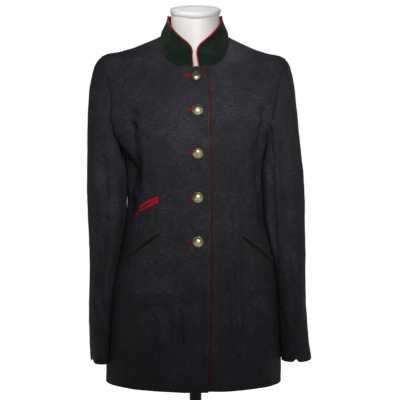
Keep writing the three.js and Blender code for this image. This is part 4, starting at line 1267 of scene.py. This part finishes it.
def creased_sleeve(sleeve):
    """The same face with its creases, its slack and the notch of its cuff."""
    settings = bpy.context.scene.blazer_cloth
    grid, turns = sleeve_grid(sleeve)
    across = np.roll(grid, -1, 1) - np.roll(grid, 1, 1)
    normals = unit(np.cross(across, np.gradient(grid, axis=0)))
    centre = grid.mean(1, keepdims=True)
    normals *= np.sign((normals * (grid - centre)).sum())
    creases = seen_creases(SLEEVE_FRONT_CREASES, SLEEVE_BACK_CREASES, grid, normals, 0.05, 0.35)
    turn = np.broadcast_to(turns[None], grid.shape[:2])
    slack = slack_lift(SLEEVE_SLACK, turn, grid[..., 2] / SLEEVE_MM_A_DEGREE, sleeve.side)
    calm = smooth(np.arange(len(grid)), 0, 14)[:, None]
    lift = creases * settings.crease_depth * SLEEVE_CREASE_SHARE + slack * settings.slack
    next_to_body = smooth(np.abs(turn - 180), 25, 70)
    lift = np.maximum(lift, 0) * next_to_body + np.minimum(lift, 0)
    grid = grid + normals * (lift * calm)[..., None]
    rise = cuff_notch(sleeve, grid[-1, :, 0], grid[-1, :, 1])
    near = smooth(np.arange(len(grid)), len(grid) - 10, len(grid) - 1)[:, None]
    grid[..., 2] += rise[None] * near
    return grid, turns


def sleeve_halves(sleeve):
    """The under and the upper piece of a sleeve, parted at its two seams."""
    grid, turns = creased_sleeve(sleeve)
    first = int(np.abs(turns - FRONT_SEAM).argmin())
    second = int(np.abs(turns - BACK_SEAM).argmin())
    count = len(turns)
    halves = []
    for start, steps in ((first, second - first), (second, count - second + first)):
        part = grid[:, (start + np.arange(steps + 1)) % count].copy()
        part[:, 0] += unit(part[:, 1] - part[:, 0]) * SEAM_GAP / 2
        part[:, -1] += unit(part[:, -2] - part[:, -1]) * SEAM_GAP / 2
        halves.append(part)
    return halves


def collar_grid():
    """Outer face of the stand collar from the neck seam to its free edge."""
    top_turn = lambda x: math.degrees(math.atan2(x - COLLAR_TOP.shift, COLLAR_TOP.fore))
    base_from, base_to = turn_at(COLLAR_LEFT.base, NECK_ROW), 360 + turn_at(COLLAR_RIGHT.base, NECK_ROW)
    columns = COLLAR_COLUMNS
    share = np.linspace(0, 1, columns)
    base = lerp(base_from, base_to, share)
    top = lerp(top_turn(COLLAR_LEFT.top), 360 + top_turn(COLLAR_RIGHT.top), share)
    turn = np.where(base > 180, base - 360, base)
    row = np.full(columns, float(NECK_ROW))
    lift = np.where(turn < 0, lap_lift(bare_point(turn, row)[:, 0]), 0)
    edge = body_point(turn, row, lift)
    normal = body_normal(turn, row)
    into = unit(np.cross(np.gradient(edge, axis=0), normal))
    into[into[:, 2] < 0] *= -1
    bend = lerp(COLLAR_BEND_FRONT, COLLAR_BEND_SIDE, sine(base) ** 2)
    start, leaving = seam_start(edge, normal, into, bend)
    start = start - leaving * 0.5
    from_end = np.minimum(np.arange(columns), columns - 1 - np.arange(columns))
    near_end = np.maximum(0, 1 - from_end * 2 * np.pi * COLLAR_TOP.half / columns / CORNER_RUN)
    end = ring_point(COLLAR_TOP, top)
    end[:, 2] -= CORNER_DROP * (1 - np.sqrt(1 - near_end**2))
    reach = np.linalg.norm(end - start, axis=-1, keepdims=True)
    f = np.linspace(0, 1, COLLAR_ROWS)[:, None, None]
    leave = start + leaving * reach / 4
    arrive = end - np.array([0, 0, 1]) * reach / 3
    return bezier(start[None], leave[None], arrive[None], end[None], f)


def collar_edge_path():
    """The collar's ends and free edge, as a line round the middle of its thickness."""
    grid = collar_grid()
    middle = grid - grid_normals(grid) * FELT_WALL / 2
    last, end = len(grid) - 1, grid.shape[1] - 1
    up = [(middle[j, 0], middle[j, 1]) for j in range(2, last)]
    over = [(middle[last, i], middle[last - 1, min(max(i, 1), end - 1)]) for i in range(end + 1)]
    down = [(middle[j, -1], middle[j, -2]) for j in range(last - 1, 1, -1)]
    points, within = np.array(up + over + down).swapaxes(0, 1)
    along = unit(np.gradient(points, axis=0))
    away = points - within
    away = unit(away - along * (away * along).sum(-1, keepdims=True))
    return points + away * PIPING_OUT


def evened(path, step):
    """A line of points with even steps."""
    reach = run_along(path)
    count = max(3, int(round(reach[-1] / step)) + 1)
    at = np.linspace(0, reach[-1], count)
    return np.stack([np.interp(at, reach, path[:, k]) for k in range(3)], -1)


def beside_right_edge(rows, inside):
    """Turns so far inside the right front's free edge, in millimetres."""
    return turn_at(stepped(RIGHT_EDGE, "height", "x", body("front", rows)) - inside, rows)


def right_edge_path():
    """A line along the right front's free edge, just outside it."""
    rows = np.linspace(0, NECK_ROW, 320)
    turn = beside_right_edge(rows, 0) + np.degrees(PIPING_OUT / body("fore", rows))
    return right_front_point(turn, rows, -1.0)


def laid_strip(passes, ground, thick, lift, along=60, over=9):
    """A rounded strip laid on the cloth, and following it, through places seen from the front."""
    at = np.linspace(0, len(passes) - 1, along)
    x, z, high = (column(passes, name, at)[:, None] for name in Pass._fields)
    ahead = np.concatenate([np.gradient(x, axis=0), np.gradient(z, axis=0)], 1)
    ahead /= np.hypot(ahead[:, :1], ahead[:, 1:])
    up = np.linspace(-1, 1, over)[None]
    ends = np.minimum(1, np.minimum(np.arange(along), np.arange(along)[::-1]) / 3)[:, None]
    side = up * high / 2 * (0.7 + 0.3 * np.sqrt(ends))
    aside = -side * ahead[:, 1:] * np.sign(ahead[:, :1])
    turn, row = under_view(x + aside, z + side * np.abs(ahead[:, :1]))
    crown = thick * np.sqrt(np.clip(1 - 0.92 * up**2, 0, 1)) * (0.35 + 0.65 * np.sqrt(ends))
    return strip_shell(ground(turn, row, lift + crown), ground(turn, row, lift - 0.6))


def add_panel(name, grid, axis_x=0.0):
    """Makes a piece of the cloth in the place of its node."""
    parts = rounded_shell(grid, sheet_thickness(), axis_x)
    piece = add_piece(f"cloth_{name}", parts, blazer_cloth(), [name])


COLOUR = {"size": 3, "min": 0, "max": 1, "subtype": "COLOR"}


class BlazerCloth(bpy.types.PropertyGroup):
    """Sizes and colours of the cloth and the felt."""

    cloth_thickness: bpy.props.FloatProperty(
        name="Cloth thickness", description="Thickness of the panels and sleeves",
        default=0.002, min=0.001, max=0.003, unit="LENGTH", precision=4,
    )
    crease_depth: bpy.props.FloatProperty(
        name="Crease depth", description="Share of the creases' full depth", default=1.5, min=0, max=2,
        subtype="FACTOR",
    )
    slack: bpy.props.FloatProperty(
        name="Slack", description="Share of the soft unevenness between the creases",
        default=1.0, min=0, max=2, subtype="FACTOR",
    )
    cloth_colour: bpy.props.FloatVectorProperty(
        name="Cloth colour", description="Ground colour of the cloth",
        default=(0.0215, 0.0205, 0.0245), **COLOUR,
    )
    felt_colour: bpy.props.FloatVectorProperty(
        name="Felt colour", description="Colour of the collar and the hip welts",
        default=(0.0035, 0.0093, 0.0056), **COLOUR,
    )


class BlazerTrim(bpy.types.PropertyGroup):
    """Sizes and colours of the piping, the stitches and the buttons."""

    piping_radius: bpy.props.FloatProperty(
        name="Piping radius", description="Radius of the red cord in the edges",
        default=0.0012, min=0.0008, max=0.002, unit="LENGTH", precision=4,
    )
    stitch_pitch: bpy.props.FloatProperty(
        name="Stitch pitch", description="Distance from one stitch to the next",
        default=0.0042, min=0.002, max=0.01, unit="LENGTH", precision=4,
    )
    thread_radius: bpy.props.FloatProperty(
        name="Thread radius", description="Radius of the sewing thread",
        default=0.00028, min=0.0001, max=0.0006, unit="LENGTH", precision=5,
    )
    piping_colour: bpy.props.FloatVectorProperty(
        name="Piping colour", description="Colour of the piping and the pocket's jets",
        default=(0.36, 0.004, 0.012), **COLOUR,
    )
    brass_colour: bpy.props.FloatVectorProperty(
        name="Button colour", description="Colour of the antique brass",
        default=(0.37, 0.315, 0.18), **COLOUR,
    )


class BlazerStage(bpy.types.PropertyGroup):
    """The dress form's colour, the floor and the light."""

    form_colour: bpy.props.FloatVectorProperty(
        name="Form colour", description="Colour of the dress form", default=(0.51, 0.5, 0.492), **COLOUR,
    )
    floor_colour: bpy.props.FloatVectorProperty(
        name="Floor colour", description="Colour of the floor", default=(0.86, 0.86, 0.86), **COLOUR,
    )
    key_power: bpy.props.FloatProperty(
        name="Key light", description="Power of the large light in front", default=2.1, min=0, max=500,
        unit="POWER",
    )
    room_light: bpy.props.FloatProperty(
        name="Room light", description="Strength of the even light from all round",
        default=0.04, min=0, max=2,
    )


class BLAZER_OT_fronts(bpy.types.Operator):
    """Makes the two front panels"""

    bl_idname = "blazer.fronts"
    bl_label = "Front panels"

    def execute(self, context):
        for (name, side), area in zip(SIDES, (0.135, 0.115)):
            add_panel(f"front_{name}", front_grid(side))
        return {"FINISHED"}


class BLAZER_OT_sides(bpy.types.Operator):
    """Makes the side panels under the arms"""

    bl_idname = "blazer.sides"
    bl_label = "Side panels"

    def execute(self, context):
        for name, side in SIDES:
            add_panel(f"side_{name}", side_grid(side))
        return {"FINISHED"}


class BLAZER_OT_backs(bpy.types.Operator):
    """Makes the two back panels, sewn together down the middle"""

    bl_idname = "blazer.backs"
    bl_label = "Back panels"

    def execute(self, context):
        for name, side in SIDES:
            add_panel(f"back_{name}", back_grid(side))
        return {"FINISHED"}


class BLAZER_OT_sleeves(bpy.types.Operator):
    """Makes the two-piece sleeves"""

    bl_idname = "blazer.sleeves"
    bl_label = "Sleeves"

    def execute(self, context):
        for sleeve in SLEEVES:
            under, upper = sleeve_halves(sleeve)
            beside, axis_x = f"cloth_front_{sleeve.name}", SLEEVE_AXIS * sleeve.side
            add_panel(f"sleeve_{sleeve.name}_under", under, axis_x)
            add_panel(f"sleeve_{sleeve.name}_upper", upper, axis_x)
        return {"FINISHED"}


class BLAZER_OT_collar(bpy.types.Operator):
    """Makes the felt stand collar"""

    bl_idname = "blazer.collar"
    bl_label = "Collar"

    def execute(self, context):
        parts = rounded_shell(collar_grid(), FELT_WALL)
        piece = add_piece("felt_collar", parts, collar_felt(), ["collar"])
        return {"FINISHED"}


class BLAZER_OT_piping(bpy.types.Operator):
    """Makes the red piping of the collar, the front edge and the cuffs"""

    bl_idname = "blazer.piping"
    bl_label = "Piping"

    def execute(self, context):
        radius = context.scene.blazer_trim.piping_radius / MM
        red = piping_cloth("Red piping", 1.0)
        # Painted shade: the front edge's cord is the same red at a quarter of its value.
        dark = piping_cloth("Deep red piping", 0.25)
        collar = tube(evened(collar_edge_path(), 1.6), radius)
        add_piece("cord_collar", collar, red, ["collar_piping"])
        front = tube(evened(right_edge_path(), 2.0), radius)
        add_piece("cord_front", front, dark, ["front_piping"])
        for sleeve in SLEEVES:
            path = creased_sleeve(sleeve)[0][-1]
            towards = np.array([path[:, 0].mean(), 0, 0]) - path
            towards[:, 2] = 0
            path += unit(towards)
            path[:, 2] -= 1
            cuff = tube(path, radius * 0.8, ring=True)
            nodes = [f"cuff_piping_{sleeve.name}"]
            add_piece(f"cord_cuff_{sleeve.name}", cuff, red, nodes)
        return {"FINISHED"}


class BLAZER_OT_pockets(bpy.types.Operator):
    """Makes the slanted hip welts and the small pocket with its two red jets"""

    bl_idname = "blazer.pockets"
    bl_label = "Pockets"

    def execute(self, context):
        for name, strip in HIP_WELTS.items():
            parts = laid_strip(strip, body_point, 2.0, 0.1)
            add_piece(f"felt_welt_{name}", parts, collar_felt(), [f"hip_welt_{name}"])
        red = piping_cloth("Pocket red", 1.35)
        for name, strip in TICKET_JETS.items():
            parts = laid_strip(strip, right_front_point, 1.5, 0.1)
            add_piece(f"ticket_{name}", parts, red, [f"ticket_jet_{name}"])
        # Painted shade: the tail carries the jets' cord on in the darker buttonhole red, where it runs
        # round into the side.
        parts = laid_strip(TICKET_TAIL, body_point, 1.4, 0.1, 30, 7)
        add_piece("ticket_tail", parts, piping_cloth("Buttonhole red", 0.6))
        return {"FINISHED"}


class BLAZER_OT_buttonholes(bpy.types.Operator):
    """Makes the bound buttonholes, each with two red lips"""

    bl_idname = "blazer.buttonholes"
    bl_label = "Buttonholes"

    def execute(self, context):
        red = piping_cloth("Buttonhole red", 0.6)
        for number, button in enumerate(BUTTONS, 1):
            row = row_at(button.height)
            near, z = seen(right_front_point(turn_at(button.x, row), row))
            start, stop = near - 4, near - 11 - button.hole
            lips = []
            for up in (-1.5, 1.5):
                lip = (
                    Pass(start, z + up, 2.9), Pass(lerp(start, stop, 0.5), z + up, 2.9),
                    Pass(lerp(start, stop, 0.85), z + up * 0.9, 2.7), Pass(stop, z + up * 0.6, 1.8),
                )
                lips.append(laid_strip(lip, right_front_point, 1.3, 0.1, 30, 7))
            add_piece(f"hole_{number}", joined(*lips), red, [f"buttonhole_{number}"])
        return {"FINISHED"}


class BLAZER_OT_buttons(bpy.types.Operator):
    """Makes the domed brass buttons"""

    bl_idname = "blazer.buttons"
    bl_label = "Buttons"

    def execute(self, context):
        points, faces, uv = lathe(BUTTON_PROFILE, 56)
        for number, button in enumerate(BUTTONS, 1):
            row = row_at(button.height)
            turn = turn_at(button.x, row)
            seat = right_front_point(turn, row, 1.8)
            face = Vector(unit(body_normal(turn, row) + np.array([0, -0.35, 0])))
            turned = np.array(Vector((0, 0, 1)).rotation_difference(face).to_matrix())
            parts = (points @ turned.T + seat, faces, uv)
            add_piece(f"brass_button_{number}", parts, button_brass(), [f"button_{number}"])
        return {"FINISHED"}


class BLAZER_OT_form(bpy.types.Operator):
    """Makes the limbless dress form under the blazer"""

    bl_idname = "blazer.form"
    bl_label = "Dress form"

    def execute(self, context):
        turns = np.linspace(-180, 180, 97)[:-1]
        thick = sheet_thickness()
        surface = lambda turn, row: bare_point(turn, row, FORM_REACH + thick)
        rings = []
        for height in FORM_ROWS:
            row = np.full(len(turns), float(height))
            lift = body_lift(turns, row, bare_point(turns, row), outward(bare_point, turns, row))
            dip = np.maximum(0, -lift - FORM_SLACK)
            ease = stepped(FORM_EASE, "row", "ease", height) + thick + FORM_YIELD * dip
            rings.append(bare_point(turns, row, FORM_REACH) - outward(surface, turns, row) * ease[:, None])
        rings[0][:, 2] = FORM_BOTTOM
        rings = np.array(rings + [ring_point(ring, turns) for ring in NECK_RINGS])
        last = len(rings) - 1
        fine = np.linspace(0, last, FORM_FINER * last + 1)
        low = np.clip(np.floor(fine), 0, last - 1).astype(int)
        leave = (rings[low + 1] - rings[np.maximum(low - 1, 0)]) / 2
        arrive = (rings[np.minimum(low + 2, last)] - rings[low]) / 2
        rings = hermite(rings[low], rings[low + 1], leave, arrive, (fine - low)[:, None, None])
        parts = capped(rings, (0, 0, FORM_BOTTOM), (0, 2, CAP_TOP))
        add_piece("form_shell", parts, form_shell(), ["dress_form"])
        return {"FINISHED"}


class BLAZER_OT_stand(bpy.types.Operator):
    """Makes the pole and the round foot"""

    bl_idname = "blazer.stand"
    bl_label = "Stand"

    def execute(self, context):
        add_piece("stand_pole", lathe(POLE_PROFILE, 64), stand_paint(), ["pole"])
        add_piece("stand_foot", lathe(FOOT_PROFILE, 128), stand_paint(), ["foot"])
        return {"FINISHED"}


def stitch_tree():
    """A node tree that lays stitches along a line: thread rods at an even pitch."""
    tree = bpy.data.node_groups.get("Stitch line")
    if tree:
        return tree
    tree = bpy.data.node_groups.new("Stitch line", "GeometryNodeTree")
    face = tree.interface
    face.new_socket("Line", in_out="INPUT", socket_type="NodeSocketGeometry")
    for name, value in (("Pitch", 0.0042), ("Stitch Length", 0.003), ("Thread Radius", 0.0003)):
        socket = face.new_socket(name, in_out="INPUT", socket_type="NodeSocketFloat")
        socket.default_value = value
    face.new_socket("Thread", in_out="INPUT", socket_type="NodeSocketMaterial")
    face.new_socket("Stitches", in_out="OUTPUT", socket_type="NodeSocketGeometry")
    nodes = {
        name: tree.nodes.new(kind)
        for name, kind in {
            "given": "NodeGroupInput",
            "curve": "GeometryNodeMeshToCurve",
            "even": "GeometryNodeResampleCurve",
            "tangent": "GeometryNodeInputTangent",
            "align": "FunctionNodeAlignRotationToVector",
            "rod": "GeometryNodeMeshCylinder",
            "spread": "GeometryNodeInstanceOnPoints",
            "real": "GeometryNodeRealizeInstances",
            "paint": "GeometryNodeSetMaterial",
            "result": "NodeGroupOutput",
        }.items()
    }
    nodes["even"].mode = "LENGTH"
    nodes["align"].axis = "Z"
    nodes["rod"].inputs["Vertices"].default_value = 6
    nodes["rod"].inputs["Side Segments"].default_value = 2
    for start, output, end, inlet in (
        ("given", "Line", "curve", 0),
        ("curve", 0, "even", "Curve"),
        ("given", "Pitch", "even", "Length"),
        ("tangent", 0, "align", "Vector"),
        ("given", "Stitch Length", "rod", "Depth"),
        ("given", "Thread Radius", "rod", "Radius"),
        ("even", 0, "spread", "Points"),
        ("rod", "Mesh", "spread", "Instance"),
        ("align", 0, "spread", "Rotation"),
        ("spread", 0, "real", 0),
        ("real", 0, "paint", "Geometry"),
        ("given", "Thread", "paint", "Material"),
        ("paint", 0, "result", 0),
    ):
        tree.links.new(nodes[start].outputs[output], nodes[end].inputs[inlet])
    return tree


def stitch_lines(name, lines, pitch, length, radius):
    """Stitches along lines of points, as one plain mesh piece."""
    mesh = bpy.data.meshes.new(name)
    points, edges, start = [], [], 0
    for line in lines:
        points += (line * MM).tolist()
        edges += [(start + k, start + k + 1) for k in range(len(line) - 1)]
        start += len(line)
    mesh.from_pydata(points, edges, [])
    base = new_object(name, mesh)
    modifier = base.modifiers.new("Stitches", "NODES")
    modifier.node_group = stitch_tree()
    values = {"Pitch": pitch, "Stitch Length": length, "Thread Radius": radius, "Thread": sewing_thread()}
    for item in modifier.node_group.interface.items_tree:
        if item.in_out == "INPUT" and item.name in values:
            modifier[item.identifier] = values[item.name]
    graph = bpy.context.evaluated_depsgraph_get()
    made = bpy.data.meshes.new_from_object(base.evaluated_get(graph), depsgraph=graph)
    base.modifiers.clear()
    base.data = made
    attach(base, "root")
    return base


class BLAZER_OT_stitching(bpy.types.Operator):
    """Sews the stitches along the front's edge, the collar's seam and the hip welts"""

    bl_idname = "blazer.stitching"
    bl_label = "Stitching"

    def execute(self, context):
        trim = context.scene.blazer_trim
        rows = np.linspace(0.05, NECK_ROW - 0.15, 300)
        edge = [right_front_point(beside_right_edge(rows, 3.2), rows, 0.05)]
        collar = collar_grid()
        lift = grid_normals(collar) * 0.1
        seam = [evened((collar + lift)[2], 1.5)]
        welts = []
        for strip in HIP_WELTS.values():
            at = np.linspace(0.15, len(strip) - 1.15, 60)
            for off in (-6.2, 6.2):
                turn, row = under_view(column(strip, "x", at), column(strip, "z", at) + off)
                welts.append(body_point(turn, row, 0.1))
        pitch, radius = trim.stitch_pitch, trim.thread_radius
        stitch_lines("stitches_front", edge, pitch, pitch * 0.68, radius)
        stitch_lines("stitches_collar", seam, pitch, pitch * 0.68, radius)
        stitch_lines("stitches_welts", welts, pitch * 0.8, pitch * 0.55, radius)
        return {"FINISHED"}


def area_light(lamp, key_power):
    data = bpy.data.lights.new(lamp.name, "AREA")
    data.shape = "RECTANGLE"
    data.size, data.size_y = lamp.size
    data.energy = key_power * lamp.share
    data.spread = math.radians(lamp.spread)
    light = new_object(lamp.name, data)
    light.location = lamp.place
    light.visible_camera = False
    light.rotation_euler = (Vector(lamp.aim) - Vector(lamp.place)).to_track_quat("-Z", "Y").to_euler()


def studio_world(room_light):
    """An even white room that the camera sees brighter than it shines."""
    world = bpy.data.worlds.new("Studio")
    world.use_nodes = True
    nodes, links = world.node_tree.nodes, world.node_tree.links
    nodes.clear()
    ray = nodes.new("ShaderNodeLightPath")
    shine = nodes.new("ShaderNodeMapRange")
    shine.inputs["To Min"].default_value = room_light
    shine.inputs["To Max"].default_value = 1.02
    sky = nodes.new("ShaderNodeBackground")
    sky.inputs["Color"].default_value = (1, 1, 1, 1)
    out = nodes.new("ShaderNodeOutputWorld")
    links.new(ray.outputs["Is Camera Ray"], shine.inputs["Value"])
    links.new(shine.outputs["Result"], sky.inputs["Strength"])
    links.new(sky.outputs[0], out.inputs["Surface"])
    return world


class BLAZER_OT_stage(bpy.types.Operator):
    """Lays the pale floor and sets the studio light and the camera"""

    bl_idname = "blazer.stage"
    bl_label = "Stage"

    def execute(self, context):
        scene = context.scene
        settings = scene.blazer_stage
        bpy.ops.mesh.primitive_plane_add(size=16, location=(0, 0, 0))
        floor = context.object
        floor.name = "floor"
        floor.data.materials.append(floor_paint())
        floor.visible_diffuse = False
        scene.world = studio_world(settings.room_light)
        for lamp in LAMPS:
            area_light(lamp, settings.key_power)
        data = bpy.data.cameras.new("camera")
        data.sensor_width = 36
        data.lens = 94.29
        camera = new_object("camera", data)
        camera.location = Vector((VIEW_ASIDE, -VIEW_DISTANCE, VIEW_HEIGHT)) * MM
        camera.rotation_euler = (math.radians(90), 0, 0)
        scene.camera = camera
        scene.view_settings.view_transform = "Standard"
        return {"FINISHED"}


class BLAZER_PT_panel(bpy.types.Panel):
    """Lists the blazer's sizes, colours and pieces"""

    bl_idname = "BLAZER_PT_panel"
    bl_label = "Blazer"
    bl_space_type = "VIEW_3D"
    bl_region_type = "UI"
    bl_category = "Blazer"

    def draw(self, context):
        layout = self.layout
        for place in GROUPS:
            box, group = layout.box(), getattr(context.scene, place)
            for name in group.__annotations__:
                box.prop(group, name)
        for operator in OPERATORS:
            layout.operator(operator.bl_idname)


OPERATORS = (
    BLAZER_OT_form,
    BLAZER_OT_stand,
    BLAZER_OT_fronts,
    BLAZER_OT_sides,
    BLAZER_OT_backs,
    BLAZER_OT_sleeves,
    BLAZER_OT_collar,
    BLAZER_OT_piping,
    BLAZER_OT_pockets,
    BLAZER_OT_buttonholes,
    BLAZER_OT_buttons,
    BLAZER_OT_stitching,
    BLAZER_OT_stage,
)
GROUPS = {"blazer_cloth": BlazerCloth, "blazer_trim": BlazerTrim, "blazer_stage": BlazerStage}
CLASSES = (*GROUPS.values(), *OPERATORS, BLAZER_PT_panel)


def register():
    for item in CLASSES:
        bpy.utils.register_class(item)
    for place, group in GROUPS.items():
        setattr(bpy.types.Scene, place, bpy.props.PointerProperty(type=group))


def unregister():
    for place in GROUPS:
        delattr(bpy.types.Scene, place)
    for item in reversed(CLASSES):
        bpy.utils.unregister_class(item)


def main():
    register()
    bpy.ops.blazer.form()
    bpy.ops.blazer.stand()
    bpy.ops.blazer.fronts()
    bpy.ops.blazer.sides()
    bpy.ops.blazer.backs()
    bpy.ops.blazer.sleeves()
    bpy.ops.blazer.collar()
    bpy.ops.blazer.piping()
    bpy.ops.blazer.pockets()
    bpy.ops.blazer.buttonholes()
    bpy.ops.blazer.buttons()
    bpy.ops.blazer.stitching()
    bpy.ops.blazer.stage()


if __name__ == "__main__":
    main()
